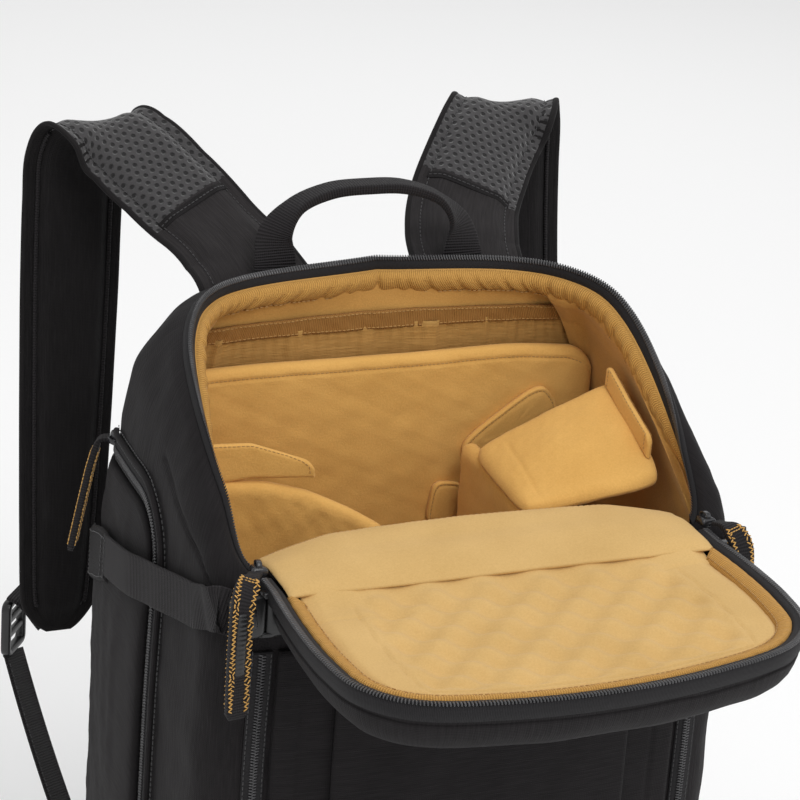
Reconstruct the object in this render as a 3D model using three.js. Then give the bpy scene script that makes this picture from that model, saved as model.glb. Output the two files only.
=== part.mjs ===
// A top-opening camera backpack that stands on its base with its lid folded open.
// Millimetres, +Z up. The origin is the middle of the base on the floor, the front of the
// bag faces -Y, and +X is to the right as seen from the front.
import * as THREE from "three";
import * as BufferGeometryUtils from "three/addons/utils/BufferGeometryUtils.js";

// Bag body
const bagWidth = 306;
const bagDepth = 192;
const bagHeight = 451;
const cornerRadius = 26;
const shellWall = 4;
const liningWall = 7;
const layerGap = 0.6;
const seatGap = 0.3;
const liningGap = 0.95;
const compartmentFloor = 200;
const halfWidth = bagWidth / 2;
const halfDepth = bagDepth / 2;

// Lid
const lidWidth = 256;
const lidLength = 160;
const lidDepth = 30;
const lidWall = 3;
const lidHinge = { y: 8 - halfDepth, z: 0.776 * bagHeight };
const hingeStrip = 21;
const lidSkew = 0.045;
const padBump = 3;

// Zippers and bindings
const zipperWidth = 12;
const zipperHeight = 2.4;
const bindingWidth = 7;
const pipingRadius = 1.8;
const frontZipperX = halfWidth - 26;
const sideZipperY = -12;
const sideZipperTop = lidHinge.z + 6;
const zipperBottom = 26;

// Panels
const panelPad = 6;
const pocketPad = 3;
const doorPad = 9;
const backPad = 12;

// Webbing and straps
const webbingWidth = 24;
const webbingThickness = 2;
const strapWidth = 66;
const strapReach = 111.5;
const strapThickness = 12;
const pullWidth = 12;
const pullLength = 66;
const handleHeight = bagHeight + 38;
const handleReach = 57;

// Dividers
const dividerPad = 11;
const tallDividerTop = lidHinge.z + 51;
const tallDividerY = halfDepth - 28;

// Columns round the bag: whole numbers from the middle of the front (0) to the middle of the
// back (lastColumn), positive on the right side and negative on the left.
const frontColumns = 5;
const cornerColumns = 4;
const sideColumns = 7;
const backColumns = 4;
const sideStart = frontColumns + cornerColumns;
const sideEnd = sideStart + sideColumns;
const backStart = sideEnd + cornerColumns;
const lastColumn = backStart + backColumns;

// The opening's edge for one half of the bag, as shares of half the width, half the depth and
// the height. From shoulder up, a share of the height, the wall curves in to that edge.
// arch says how far up the curve's control point lies.
const rimTable = [
  { column: 0, x: 0, y: -0.73, z: 0.783, shoulder: 0.71, arch: 0.8 },
  { column: frontColumns - 2, x: 0.5, y: -0.75, z: 0.782, shoulder: 0.71, arch: 0.8 },
  { column: frontColumns, x: 0.83, y: -0.8, z: 0.774, shoulder: 0.705, arch: 0.8 },
  { column: sideStart, x: 0.875, y: -0.48, z: 0.847, shoulder: 0.73, arch: 0.7 },
  { column: sideStart + 2.5, x: 0.885, y: -0.1, z: 0.912, shoulder: 0.75, arch: 0.68 },
  { column: sideStart + 5, x: 0.86, y: 0.24, z: 0.958, shoulder: 0.765, arch: 0.68 },
  { column: sideEnd, x: 0.81, y: 0.44, z: 0.98, shoulder: 0.78, arch: 0.68 },
  { column: sideEnd + 2, x: 0.72, y: 0.65, z: 0.989, shoulder: 0.79, arch: 0.7 },
  { column: backStart, x: 0.575, y: 0.81, z: 0.993, shoulder: 0.84, arch: 0.8 },
  { column: lastColumn, x: 0, y: 0.92, z: 1, shoulder: 0.94, arch: 0.9 },
];

// Level rings below the shoulder: the share of the shoulder's height, of the width and of the
// depth, and how far the walls bow out in the middle.
const ringTable = [
  { height: 0, width: 0.94, depth: 0.91, bow: 0 },
  { height: 0.028, width: 0.985, depth: 0.98, bow: 1 },
  { height: 0.3, width: 1, depth: 1, bow: 4 },
  { height: 0.55, width: 1, depth: 1, bow: 4 },
  { height: 0.78, width: 1, depth: 0.99, bow: 3 },
  { height: 1, width: 0.99, depth: 0.98, bow: 2 },
];
const shoulderSteps = [0.3, 0.58, 0.82, 1];

// A value of a table at a column, straight between its rows.
function tableAt(table, key, place, name) {
  let row = 0;
  while (row < table.length - 2 && table[row + 1][key] < place) {
    row += 1;
  }
  const low = table[row];
  const high = table[row + 1];
  const share = (place - low[key]) / (high[key] - low[key]);
  return THREE.MathUtils.lerp(low[name], high[name], share);
}

const rimCurve = new THREE.CatmullRomCurve3(
  rimTable.map((row) => new THREE.Vector3(row.x * halfWidth, row.y * halfDepth, row.z * bagHeight)),
);

function rimPoint(column) {
  let row = 0;
  while (row < rimTable.length - 2 && rimTable[row + 1].column < column) {
    row += 1;
  }
  const low = rimTable[row].column;
  const share = (column - low) / (rimTable[row + 1].column - low);
  return rimCurve.getPoint((row + share) / (rimTable.length - 1));
}

// A point of a level ring: straight front, side and back with round corners.
function ringPoint(column, ring) {
  const w = halfWidth * ring.width;
  const d = halfDepth * ring.depth;
  const straight = w - cornerRadius;
  if (column <= frontColumns) {
    const share = column / frontColumns;
    return [share * straight, -d - ring.bow * (1 - share * share)];
  }
  if (column <= sideStart) {
    const turn = ((column - frontColumns) / cornerColumns) * (Math.PI / 2);
    return [straight + cornerRadius * Math.sin(turn), -d + cornerRadius * (1 - Math.cos(turn))];
  }
  if (column <= sideEnd) {
    const share = (column - sideStart) / sideColumns;
    const bow = ring.bow * (1 - (2 * share - 1) ** 2);
    return [w + bow, THREE.MathUtils.lerp(-d + cornerRadius, d - cornerRadius, share)];
  }
  if (column <= backStart) {
    const turn = ((column - sideEnd) / cornerColumns) * (Math.PI / 2);
    return [straight + cornerRadius * Math.cos(turn), d - cornerRadius * (1 - Math.sin(turn))];
  }
  return [straight * (1 - (column - backStart) / backColumns), d];
}

// The outer wall of one half as a grid of points: rings, then the curve in to the opening.
function wallColumn(column) {
  const shoulder = tableAt(rimTable, "column", column, "shoulder") * bagHeight;
  const arch = tableAt(rimTable, "column", column, "arch");
  const points = ringTable.map((ring) => {
    const [x, y] = ringPoint(column, ring);
    return new THREE.Vector3(x, y, ring.height * shoulder);
  });
  const start = points[points.length - 1];
  const end = rimPoint(column);
  const control = new THREE.Vector3(start.x, start.y, THREE.MathUtils.lerp(start.z, end.z, arch));
  const curve = new THREE.QuadraticBezierCurve3(start, control, end);
  shoulderSteps.forEach((share) => points.push(curve.getPoint(share)));
  return points;
}

const wall = Array.from({ length: lastColumn + 1 }, (_, column) => wallColumn(column));
const lastRow = wall[0].length - 1;

function wallAt(column, row) {
  const point = wall[Math.abs(column)][row].clone();
  if (column < 0) {
    point.x = -point.x;
  }
  return point;
}

function wrapColumn(column) {
  if (column > lastColumn) {
    return column - 2 * lastColumn;
  }
  return column < -lastColumn ? column + 2 * lastColumn : column;
}

// Outward direction of the wall at a whole column and row.
function wallNormal(column, row) {
  const right = wallAt(wrapColumn(column + 1), row);
  const left = wallAt(wrapColumn(column - 1), row);
  const above = wallAt(column, Math.min(row + 1, lastRow));
  const below = wallAt(column, Math.max(row - 1, 0));
  return right.sub(left).cross(above.sub(below)).normalize();
}

// A point a given distance outside the wall (negative: inside), at any column and row.
function onWall(place, row, out) {
  const column = wrapColumn(place);
  const c = Math.min(Math.floor(column), lastColumn - 1);
  const r = Math.min(Math.floor(row), lastRow - 1);
  const across = column - c;
  const up = row - r;
  const corners = [
    [c, r, (1 - across) * (1 - up)],
    [c + 1, r, across * (1 - up)],
    [c, r + 1, (1 - across) * up],
    [c + 1, r + 1, across * up],
  ];
  const point = new THREE.Vector3();
  const normal = new THREE.Vector3();
  corners.forEach(([cc, rr, share]) => {
    point.addScaledVector(wallAt(cc, rr), share);
    normal.addScaledVector(wallNormal(cc, rr), share);
  });
  return point.addScaledVector(normal.normalize(), out);
}

// The row at which a column of the wall reaches a height.
function rowAtHeight(place, height) {
  const column = wrapColumn(place);
  const c = Math.min(Math.floor(column), lastColumn - 1);
  const share = column - c;
  const heightOf = (row) => THREE.MathUtils.lerp(wallAt(c, row).z, wallAt(c + 1, row).z, share);
  let row = 0;
  while (row < lastRow - 1 && heightOf(row + 1) < height) {
    row += 1;
  }
  return row + (height - heightOf(row)) / (heightOf(row + 1) - heightOf(row));
}

const columnAtFrontX = (x) => (frontColumns * x) / (halfWidth - cornerRadius);
const columnAtBackX = (x) => backStart + backColumns * (1 - x / (halfWidth - cornerRadius));
const columnAtSideY = (y) =>
  sideStart + (sideColumns * (y + halfDepth - cornerRadius)) / (bagDepth - 2 * cornerRadius);

// Closed solids

class Faces {
  constructor() {
    this.points = [];
    this.corners = [];
  }

  point(p) {
    this.points.push(p.x, p.y, p.z);
    return this.points.length / 3 - 1;
  }

  triangle(a, b, c) {
    this.corners.push(a, b, c);
  }

  quad(a, b, c, d) {
    this.triangle(a, b, c);
    this.triangle(a, c, d);
  }

  volume() {
    let sum = 0;
    const at = (i) => new THREE.Vector3().fromArray(this.points, 3 * i);
    for (let i = 0; i < this.corners.length; i += 3) {
      const [a, b, c] = this.corners.slice(i, i + 3).map(at);
      sum += a.dot(b.cross(c));
    }
    return sum / 6;
  }

  geometry() {
    if (this.volume() < 0) {
      for (let i = 0; i < this.corners.length; i += 3) {
        [this.corners[i + 1], this.corners[i + 2]] = [this.corners[i + 2], this.corners[i + 1]];
      }
    }
    const geometry = new THREE.BufferGeometry();
    geometry.setAttribute("position", new THREE.Float32BufferAttribute(this.points, 3));
    geometry.setIndex(this.corners);
    geometry.computeVertexNormals();
    return geometry;
  }
}

// Joins rings of equal length one after another. A closed last-to-first pair makes a tube
// wall; otherwise each end is closed by a fan.
function ringSolid(rings, closeOnItself = false) {
  const faces = new Faces();
  const ids = rings.map((ring) => ring.map((p) => faces.point(p)));
  const count = rings[0].length;
  const join = (low, high) => {
    for (let i = 0; i < count; i += 1) {
      const next = (i + 1) % count;
      faces.quad(low[i], low[next], high[next], high[i]);
    }
  };
  for (let i = 0; i + 1 < ids.length; i += 1) {
    join(ids[i], ids[i + 1]);
  }
  if (closeOnItself) {
    join(ids[ids.length - 1], ids[0]);
    return faces.geometry();
  }
  const fan = (ring, points, turned) => {
    const middle = points.reduce((sum, p) => sum.add(p), new THREE.Vector3());
    const hub = faces.point(middle.divideScalar(count));
    for (let i = 0; i < count; i += 1) {
      const next = (i + 1) % count;
      if (turned) {
        faces.triangle(hub, ring[next], ring[i]);
      } else {
        faces.triangle(hub, ring[i], ring[next]);
      }
    }
  };
  fan(ids[0], rings[0], true);
  fan(ids[ids.length - 1], rings[rings.length - 1], false);
  return faces.geometry();
}

// A slab between two grids of the same size, closed at its four edges.
function slabSolid(inner, outer) {
  const faces = new Faces();
  const low = inner.map((line) => line.map((p) => faces.point(p)));
  const high = outer.map((line) => line.map((p) => faces.point(p)));
  const rows = inner.length - 1;
  const columns = inner[0].length - 1;
  for (let r = 0; r < rows; r += 1) {
    for (let c = 0; c < columns; c += 1) {
      faces.quad(low[r][c], low[r + 1][c], low[r + 1][c + 1], low[r][c + 1]);
      faces.quad(high[r][c], high[r][c + 1], high[r + 1][c + 1], high[r + 1][c]);
    }
    faces.quad(low[r][0], high[r][0], high[r + 1][0], low[r + 1][0]);
    faces.quad(low[r][columns], low[r + 1][columns], high[r + 1][columns], high[r][columns]);
  }
  for (let c = 0; c < columns; c += 1) {
    faces.quad(low[0][c], low[0][c + 1], high[0][c + 1], high[0][c]);
    faces.quad(low[rows][c], high[rows][c], high[rows][c + 1], low[rows][c + 1]);
  }
  return faces.geometry();
}

// A section swept through stations. Each has its middle, the directions of its width and its
// thickness, and both sizes; the section's corners are shares of them.
function sweepSolid(stations, section) {
  const rings = stations.map((s) =>
    section.map(([across, up]) =>
      s.middle
        .clone()
        .addScaledVector(s.across, across * s.width)
        .addScaledVector(s.up, up * s.thickness),
    ),
  );
  return ringSolid(rings);
}

const flatSection = [
  [-0.5, -0.5],
  [0.5, -0.5],
  [0.5, 0.5],
  [-0.5, 0.5],
];
const padSection = [
  [-0.5, 0],
  [-0.42, -0.42],
  [0, -0.5],
  [0.42, -0.42],
  [0.5, 0],
  [0.42, 0.42],
  [0, 0.5],
  [-0.42, 0.42],
];
const roundSection = Array.from({ length: 6 }, (_, i) => [
  0.5 * Math.cos((i * Math.PI) / 3),
  0.5 * Math.sin((i * Math.PI) / 3),
]);

// A three.js geometry with its position alone, so that its shared corners can be merged.
function bare(geometry) {
  geometry.deleteAttribute("normal");
  geometry.deleteAttribute("uv");
  return geometry;
}

// Stations along a list of middles, given the direction of the width at each.
function stationsAlong(middles, acrossAt, widthAt, thicknessAt) {
  return middles.map((middle, i) => {
    const before = middles[Math.max(i - 1, 0)];
    const after = middles[Math.min(i + 1, middles.length - 1)];
    const along = after.clone().sub(before).normalize();
    const share = i / (middles.length - 1);
    const across = acrossAt(share);
    across.addScaledVector(along, -across.dot(along)).normalize();
    const up = across.clone().cross(along).normalize();
    return { middle, across, up, width: widthAt(share), thickness: thicknessAt(share) };
  });
}

// Pieces that lie on the wall

// Rings that every panel follows, so that it bends where the wall bends.
const panelRows = [2, 3, 4];

// A padded panel over columns left to right and heights bottom to top (both may depend on the
// column), full in the middle and thin at its edges.
function wallPanel({ columns, bottom, top, out, pad, edge }) {
  const fullness = (share) => Math.min(1, 4.5 * Math.min(share, 1 - share)) ** 0.6;
  const lines = columns.map((column, i) => {
    const low = rowAtHeight(column, bottom(column));
    const high = rowAtHeight(column, top(column));
    const bend = panelRows[panelRows.length - 1];
    const rows = [low, THREE.MathUtils.lerp(low, panelRows[0], 0.35), ...panelRows];
    [0.45, 0.85, 1].forEach((share) => rows.push(THREE.MathUtils.lerp(bend, high, share)));
    const full = fullness(i / (columns.length - 1));
    return rows.map((row) => {
      const thickness = edge + (pad - edge) * full * fullness((row - low) / (high - low));
      return [onWall(column, row, out), onWall(column, row, out + thickness)];
    });
  });
  const grid = (layer) => lines.map((line) => line.map((pair) => pair[layer]));
  return slabSolid(grid(0), grid(1));
}

// A band along a route on the wall. Each stop has a column, a height and a distance out.
function wallBand(route, width, thickness, section) {
  const points = route.map((s) => onWall(s.column, rowAtHeight(s.column, s.height), s.out));
  const outside = route.map((s) => onWall(s.column, rowAtHeight(s.column, s.height), s.out + 1));
  const stations = points.map((middle, i) => {
    const before = points[Math.max(i - 1, 0)];
    const after = points[Math.min(i + 1, points.length - 1)];
    const along = after.clone().sub(before).normalize();
    const across = outside[i].clone().sub(middle).cross(along).normalize();
    const up = along.clone().cross(across).normalize();
    return { middle, across, up, width, thickness };
  });
  return sweepSolid(stations, section);
}

// Materials and the group

const colours = {
  fabric: [0x262324, 0.85, 0],
  webbing: [0x1d1b1c, 0.8, 0],
  mesh: [0x2a2a2c, 0.9, 0],
  zipper: [0x18181a, 0.5, 0],
  plastic: [0x141416, 0.4, 0],
  lining: [0xc8964e, 0.9, 0],
  pad: [0xd5b273, 0.9, 0],
  binding: [0xa8722f, 0.85, 0],
};
const group = new THREE.Group();

function add(name, geometry, colour) {
  const [color, roughness, metalness] = colours[colour];
  const material = new THREE.MeshStandardMaterial({ color, roughness, metalness });
  const mesh = new THREE.Mesh(geometry, material);
  mesh.name = name;
  group.add(mesh);
  return mesh;
}

const sides = [
  { name: "left", sign: -1 },
  { name: "right", sign: 1 },
];
const vector = (x, y, z) => new THREE.Vector3(x, y, z);
const mirrored = (p, sign) => vector(p.x * sign, p.y, p.z);

// Body

const allColumns = Array.from({ length: 2 * lastColumn }, (_, i) => i - lastColumn);

function bodyShell() {
  const outer = [];
  const inner = [];
  for (let row = 0; row <= lastRow; row += 1) {
    outer.push(allColumns.map((column) => wallAt(column, row)));
    inner.push(allColumns.map((column) => onWall(column, row, -shellWall)));
  }
  inner[0].forEach((p, i) => {
    const edge = wallAt(allColumns[i], 0);
    p.set(edge.x * 0.98, edge.y * 0.98, shellWall);
  });
  return ringSolid([...outer, ...inner.reverse()]);
}

// The compartment's tub: its rows start at the floor and follow the wall's rows above it.
const floorRow = 3;
const tubTop = lastRow - 0.2;
const liningDepth = shellWall + liningGap;
const liningInside = liningDepth + liningWall;

function liningTub() {
  const ring = (row, depth, lift) =>
    allColumns.map((column) => {
      const atFloor = row === floorRow;
      const place = atFloor ? rowAtHeight(column, compartmentFloor - lift) : Math.min(row, tubTop);
      return onWall(column, place, -depth);
    });
  const rows = [];
  for (let row = floorRow; row <= lastRow; row += 1) {
    rows.push(row);
  }
  const outer = rows.map((row) => ring(row, liningDepth, liningWall));
  // The wall curls in at its edge, so the inside leaves out the row below it.
  const inner = rows.filter((row) => row !== lastRow - 1).map((row) => ring(row, liningInside, 0));
  const flatten = (points, z) => points.forEach((p) => (p.z = z));
  flatten(outer[0], compartmentFloor - liningWall);
  flatten(inner[0], compartmentFloor);
  return ringSolid([...outer, ...inner.reverse()]);
}

add("body_shell", bodyShell(), "fabric");
add("lining", liningTub(), "lining");

// Opening: the coil half stands on the wall's edge and the binding on the tub's.

// A section at a column of the opening's edge, given as distances inward from the wall's
// outside and up from the edge.
function rimSection(column, section) {
  const edge = wallAt(column, lastRow);
  const outward = wallNormal(column, lastRow);
  const up = edge.clone().sub(wallAt(column, lastRow - 1)).normalize();
  up.addScaledVector(outward, -up.dot(outward)).normalize();
  return section.map(([inward, rise]) =>
    edge.clone().addScaledVector(outward, -inward).addScaledVector(up, rise),
  );
}

// Rings at each column round the opening from one end of the hinge to the other.
function rimRound(ringAt) {
  const right = [];
  for (let column = frontColumns; column <= lastColumn; column += 1) {
    right.push(column);
  }
  const left = right.slice(0, -1).reverse();
  const columns = [...right, ...left.map((column) => -column)];
  return ringSolid(columns.map(ringAt));
}

const rimArch = (section) => rimRound((column) => rimSection(column, section));

const rectangle = (near, far, low, high) => [
  [near, low],
  [far, low],
  [far, high],
  [near, high],
];
const rimGap = 0.7;
add("opening_zipper", rimArch(rectangle(-1, shellWall + 1, rimGap, rimGap + zipperHeight)), "zipper");

// The binding caps the tub's edge, inside the coil half.
const bindingThickness = 2;
const bindingNear = shellWall + 1 + layerGap;
const bindingFar = bindingNear + 3.4;
const bindingLow = 2 * layerGap;
add(
  "opening_binding",
  rimArch(rectangle(bindingNear, bindingFar, bindingLow, bindingLow + bindingThickness)),
  "binding",
);

// Front: a padded panel between the long zippers, with a flat pocket sewn on it.

const panelHalf = frontZipperX - zipperWidth / 2 - 3;
const panelTop = lidHinge.z - lidDepth - 8;
const pocketShare = 0.73;
const edgeShare = 0.4;

function evenSteps(from, to, count) {
  return Array.from({ length: count + 1 }, (_, i) => THREE.MathUtils.lerp(from, to, i / count));
}

function frontPiece(half, out, pad, top) {
  const edge = columnAtFrontX(half);
  return wallPanel({
    columns: evenSteps(-edge, edge, 2 * frontColumns),
    bottom: () => zipperBottom,
    top: () => top,
    out,
    pad,
    edge: pad * edgeShare,
  });
}

add("front_panel", frontPiece(panelHalf, layerGap, panelPad, panelTop), "fabric");
add(
  "front_pocket",
  frontPiece(panelHalf * pocketShare, panelPad + 2 * layerGap, pocketPad, panelTop - 10),
  "fabric",
);

// Sides: a puffy door behind a zipper that runs up the wall and turns back along its top.

const doorCorner = 34;
const doorEnd = sideEnd + 1;
const zipperOut = layerGap + zipperHeight / 2;

// The door's outline, grown outwards, from its top back end round to the bottom.
function doorRoute(grow, out) {
  const top = sideZipperTop + grow;
  const front = sideZipperY - grow;
  const radius = doorCorner + grow;
  const stops = [];
  const corner = columnAtSideY(front + radius);
  for (let column = doorEnd; column > corner + 0.2; column -= 1) {
    stops.push({ column, height: top });
  }
  const steps = 5;
  for (let i = 0; i <= steps; i += 1) {
    const turn = (i / steps) * (Math.PI / 2);
    const y = front + radius * (1 - Math.sin(turn));
    stops.push({ column: columnAtSideY(y), height: top - radius * (1 - Math.cos(turn)) });
  }
  for (const share of [0.75, 0.5, 0.25, 0]) {
    const height = THREE.MathUtils.lerp(zipperBottom, top - radius, share);
    stops.push({ column: columnAtSideY(front), height });
  }
  return stops.map((stop) => ({ ...stop, out }));
}

function sideDoor() {
  const inset = zipperWidth / 2 + 1.5;
  const first = sideZipperY + inset;
  const radius = doorCorner - inset;
  const top = sideZipperTop - inset;
  const start = columnAtSideY(first);
  const round = [0.12, 0.35, 0.75, 1.15].map((step) => start + step);
  const whole = Math.ceil(start + 1.3);
  const rest = evenSteps(whole, backStart - 2, backStart - 2 - whole);
  return wallPanel({
    columns: [start, ...round, ...rest],
    bottom: () => zipperBottom,
    top: (column) => {
      const depth = ((column - start) * (bagDepth - 2 * cornerRadius)) / sideColumns;
      const short = Math.max(0, radius - depth);
      return top - radius + Math.sqrt(radius * radius - short * short);
    },
    out: layerGap,
    pad: doorPad,
    edge: doorPad * edgeShare,
  });
}

// A piece made for the right side, or its mirror image for the left.
function mirror(geometry, sign) {
  if (sign > 0) {
    return geometry;
  }
  const copy = geometry.clone();
  copy.scale(-1, 1, 1);
  const index = copy.index.array;
  for (let i = 0; i < index.length; i += 3) {
    [index[i + 1], index[i + 2]] = [index[i + 2], index[i + 1]];
  }
  copy.computeVertexNormals();
  return copy;
}

function frontZipper() {
  const column = columnAtFrontX(frontZipperX);
  const route = [0, 0.25, 0.5, 0.75, 1].map((share) => ({
    column,
    height: THREE.MathUtils.lerp(zipperBottom, panelTop, share),
    out: zipperOut,
  }));
  return wallBand(route, zipperWidth, zipperHeight, flatSection);
}

for (const { name, sign } of sides) {
  add("front_zipper_" + name, mirror(frontZipper(), sign), "zipper");
  add("side_door_" + name, mirror(sideDoor(), sign), "fabric");
  const zipper = wallBand(doorRoute(0, zipperOut), zipperWidth, zipperHeight, flatSection);
  add("side_zipper_" + name, mirror(zipper, sign), "zipper");
  const grow = zipperWidth / 2 + pipingRadius + 1;
  const route = doorRoute(grow, layerGap + pipingRadius);
  const piping = wallBand(route, 2 * pipingRadius, 2 * pipingRadius, roundSection);
  add("side_piping_" + name, mirror(piping, sign), "fabric");
}

// Back: the pad that lies against the wearer, below the roots of the straps.

const strapRootZ = bagHeight - 39;
const backPadHalf = halfWidth - 37;
add(
  "back_panel",
  wallPanel({
    columns: evenSteps(columnAtBackX(backPadHalf), 2 * lastColumn - columnAtBackX(backPadHalf), 8),
    bottom: () => zipperBottom,
    top: () => strapRootZ - 6,
    out: layerGap,
    pad: backPad,
    edge: backPad * edgeShare,
  }),
  "mesh",
);

// The carry handle's legs lie on the wall above the back pad; the straps' roots lie on them.
const handleRoot = { x: handleReach, z: strapRootZ + 4 };
const handleColumn = columnAtBackX(handleRoot.x);
const handleSeat = onWall(handleColumn, rowAtHeight(handleColumn, handleRoot.z), seatGap).y;
const strapSeat = handleSeat + webbingThickness + seatGap;

// Shoulder straps: stations down the middle of the right strap. x and z are shares of half the
// bag's width and of its height, back is the near face's distance from its seat as a
// share of the strap's reach; width and thick are shares of the strap's.
const strapTable = [
  { x: 0.405, back: 0, z: 0.915, turn: 0, width: 1, thick: 0.45 },
  { x: 0.42, back: 0.009, z: 0.965, turn: 0, width: 1.03, thick: 0.6 },
  { x: 0.455, back: 0.197, z: 0.993, turn: 0, width: 1.03, thick: 0.9 },
  { x: 0.53, back: 0.422, z: 1.02, turn: 0, width: 1, thick: 1 },
  { x: 0.64, back: 0.619, z: 1.057, turn: 2, width: 0.98, thick: 1 },
  { x: 0.745, back: 0.776, z: 1.09, turn: 4, width: 0.97, thick: 1 },
  { x: 0.82, back: 0.879, z: 1.105, turn: 0, width: 0.96, thick: 1 },
  { x: 0.87, back: 0.96, z: 1.098, turn: -4, width: 0.96, thick: 1 },
  { x: 0.9, back: 1, z: 1.07, turn: -8, width: 0.96, thick: 1 },
  { x: 0.91, back: 1, z: 1.01, turn: -10, width: 0.96, thick: 1 },
  { x: 0.925, back: 0.942, z: 0.885, turn: -10, width: 0.95, thick: 1 },
  { x: 0.95, back: 0.83, z: 0.74, turn: -10, width: 0.9, thick: 1 },
  { x: 0.985, back: 0.682, z: 0.6, turn: -10, width: 0.83, thick: 1 },
  { x: 1.015, back: 0.574, z: 0.49, turn: -10, width: 0.74, thick: 0.9 },
  { x: 1.02, back: 0.561, z: 0.452, turn: -10, width: 0.5, thick: 0.5 },
];
const strapMiddle = (row) =>
  vector(
    row.x * halfWidth,
    strapSeat + row.back * strapReach + (strapThickness * row.thick) / 2,
    row.z * bagHeight,
  );

function shoulderStrap() {
  const middles = strapTable.map(strapMiddle);
  const last = strapTable.length - 1;
  const row = (share) => strapTable[Math.round(share * last)];
  const across = (share) => {
    const turn = THREE.MathUtils.degToRad(row(share).turn);
    return vector(Math.cos(turn), Math.sin(turn), 0);
  };
  const width = (share) => strapWidth * row(share).width;
  const thickness = (share) => strapThickness * row(share).thick;
  return sweepSolid(stationsAlong(middles, across, width, thickness), padSection);
}

// Lower ends: a ladder lock behind the strap's tip, and webbing down to a wing at the base.
const lockSize = { across: 28, tall: 36, thick: 7, bar: 5, edge: 4 };
const lock = vector(1.157 * halfWidth, strapSeat + 0.794 * strapReach, 0.44 * bagHeight);
const lockAcross = vector(-0.6, 0.8, 0);
const lockGap = 0.7;
const loopGap = 2.5;
const loopCrown = 3;
const webbingSag = vector(2, 2, -6);
const wing = { column: backStart - 1, out: 22, tall: 34, thick: 4, z: 66 };

function box(width, depth, height) {
  return new THREE.BoxGeometry(width, depth, height);
}

// The lock's plate with a slot above and below its middle bar.
function framePlate() {
  const shape = new THREE.Shape();
  const w = lockSize.across / 2;
  const h = lockSize.tall / 2;
  shape.moveTo(-w, -h);
  shape.lineTo(w, -h);
  shape.lineTo(w, h);
  shape.lineTo(-w, h);
  shape.closePath();
  const side = w - lockSize.edge;
  for (const slot of [-1, 1]) {
    const near = (slot * lockSize.bar) / 2;
    const far = slot * (h - lockSize.edge);
    const hole = new THREE.Path();
    hole.moveTo(-side, near);
    hole.lineTo(-side, far);
    hole.lineTo(side, far);
    hole.lineTo(side, near);
    hole.closePath();
    shape.holes.push(hole);
  }
  return new THREE.ExtrudeGeometry(shape, { depth: lockSize.thick, bevelEnabled: false });
}

// A geometry made along x (across) and y (up), turned and moved to its place.
function placed(geometry, middle, across, up) {
  const out = across.clone().cross(up);
  const basis = new THREE.Matrix4().makeBasis(across, up, out);
  geometry.applyMatrix4(basis);
  geometry.translate(middle.x, middle.y, middle.z);
  return geometry;
}

function ladderLock() {
  const plate = framePlate();
  plate.translate(0, 0, -lockSize.thick / 2);
  return placed(plate, lock, lockAcross, vector(0, 0, 1));
}

// A short webbing loop from behind the strap's end to the lock's upper bar.
function strapTip() {
  const end = strapTable[strapTable.length - 1];
  const behind = (strapThickness * end.thick) / 2 + webbingWidth / 4;
  const start = strapMiddle(end).add(vector(2, behind, 2));
  const top = lock.clone().add(vector(0, 0, lockSize.tall / 2 + loopGap + webbingThickness / 2));
  const over = start.clone().lerp(top, 0.5).add(vector(0, 0, loopCrown));
  const middles = new THREE.QuadraticBezierCurve3(start, over, top).getPoints(4);
  const turn = THREE.MathUtils.degToRad(end.turn);
  const stations = stationsAlong(
    middles,
    (share) => vector(Math.cos(turn), Math.sin(turn), 0).lerp(lockAcross.clone().negate(), share),
    () => webbingWidth,
    () => webbingThickness,
  );
  return sweepSolid(stations, flatSection);
}

const wingRoot = onWall(wing.column, rowAtHeight(wing.column, wing.z), 0);
const wingOut = vector(0.6, 0.8, 0);
const wingTip = wingRoot.clone().addScaledVector(wingOut, wing.out);

function strapAnchor() {
  const low = (distance, half) => [
    wingRoot.clone().addScaledVector(wingOut, distance).add(vector(0, 0, -half)),
    wingRoot.clone().addScaledVector(wingOut, distance).add(vector(0, 0, half)),
  ];
  const side = vector(wingOut.y, -wingOut.x, 0).multiplyScalar(wing.thick / 2);
  const rings = [low(layerGap + 0.4, wing.tall / 2), low(wing.out, webbingWidth / 2 - 2)];
  return ringSolid(
    rings.map(([a, b]) => [
      a.clone().sub(side),
      b.clone().sub(side),
      b.clone().add(side),
      a.clone().add(side),
    ]),
  );
}

function lowerWebbing() {
  const top = lock.clone().add(vector(0, 0, -lockSize.tall / 2 - lockGap));
  const end = wingTip.clone().addScaledVector(wingOut, 1.2 + webbingThickness / 2);
  const middle = top.clone().lerp(end, 0.5).add(webbingSag);
  const middles = new THREE.QuadraticBezierCurve3(top, middle, end).getPoints(8);
  const reach = end.clone().sub(top);
  const stations = stationsAlong(
    middles,
    () => vector(-reach.y, reach.x, 0),
    () => webbingWidth,
    () => webbingThickness,
  );
  return sweepSolid(stations, flatSection);
}

for (const { name, sign } of sides) {
  add("shoulder_strap_" + name, mirror(shoulderStrap(), sign), "mesh");
  const plate = ladderLock();
  add("ladder_lock_" + name, mirror(BufferGeometryUtils.mergeVertices(bare(plate)), sign), "plastic");
  add("strap_tip_" + name, mirror(strapTip(), sign), "webbing");
  add("strap_webbing_" + name, mirror(lowerWebbing(), sign), "webbing");
  add("strap_anchor_" + name, mirror(strapAnchor(), sign), "webbing");
}

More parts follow.
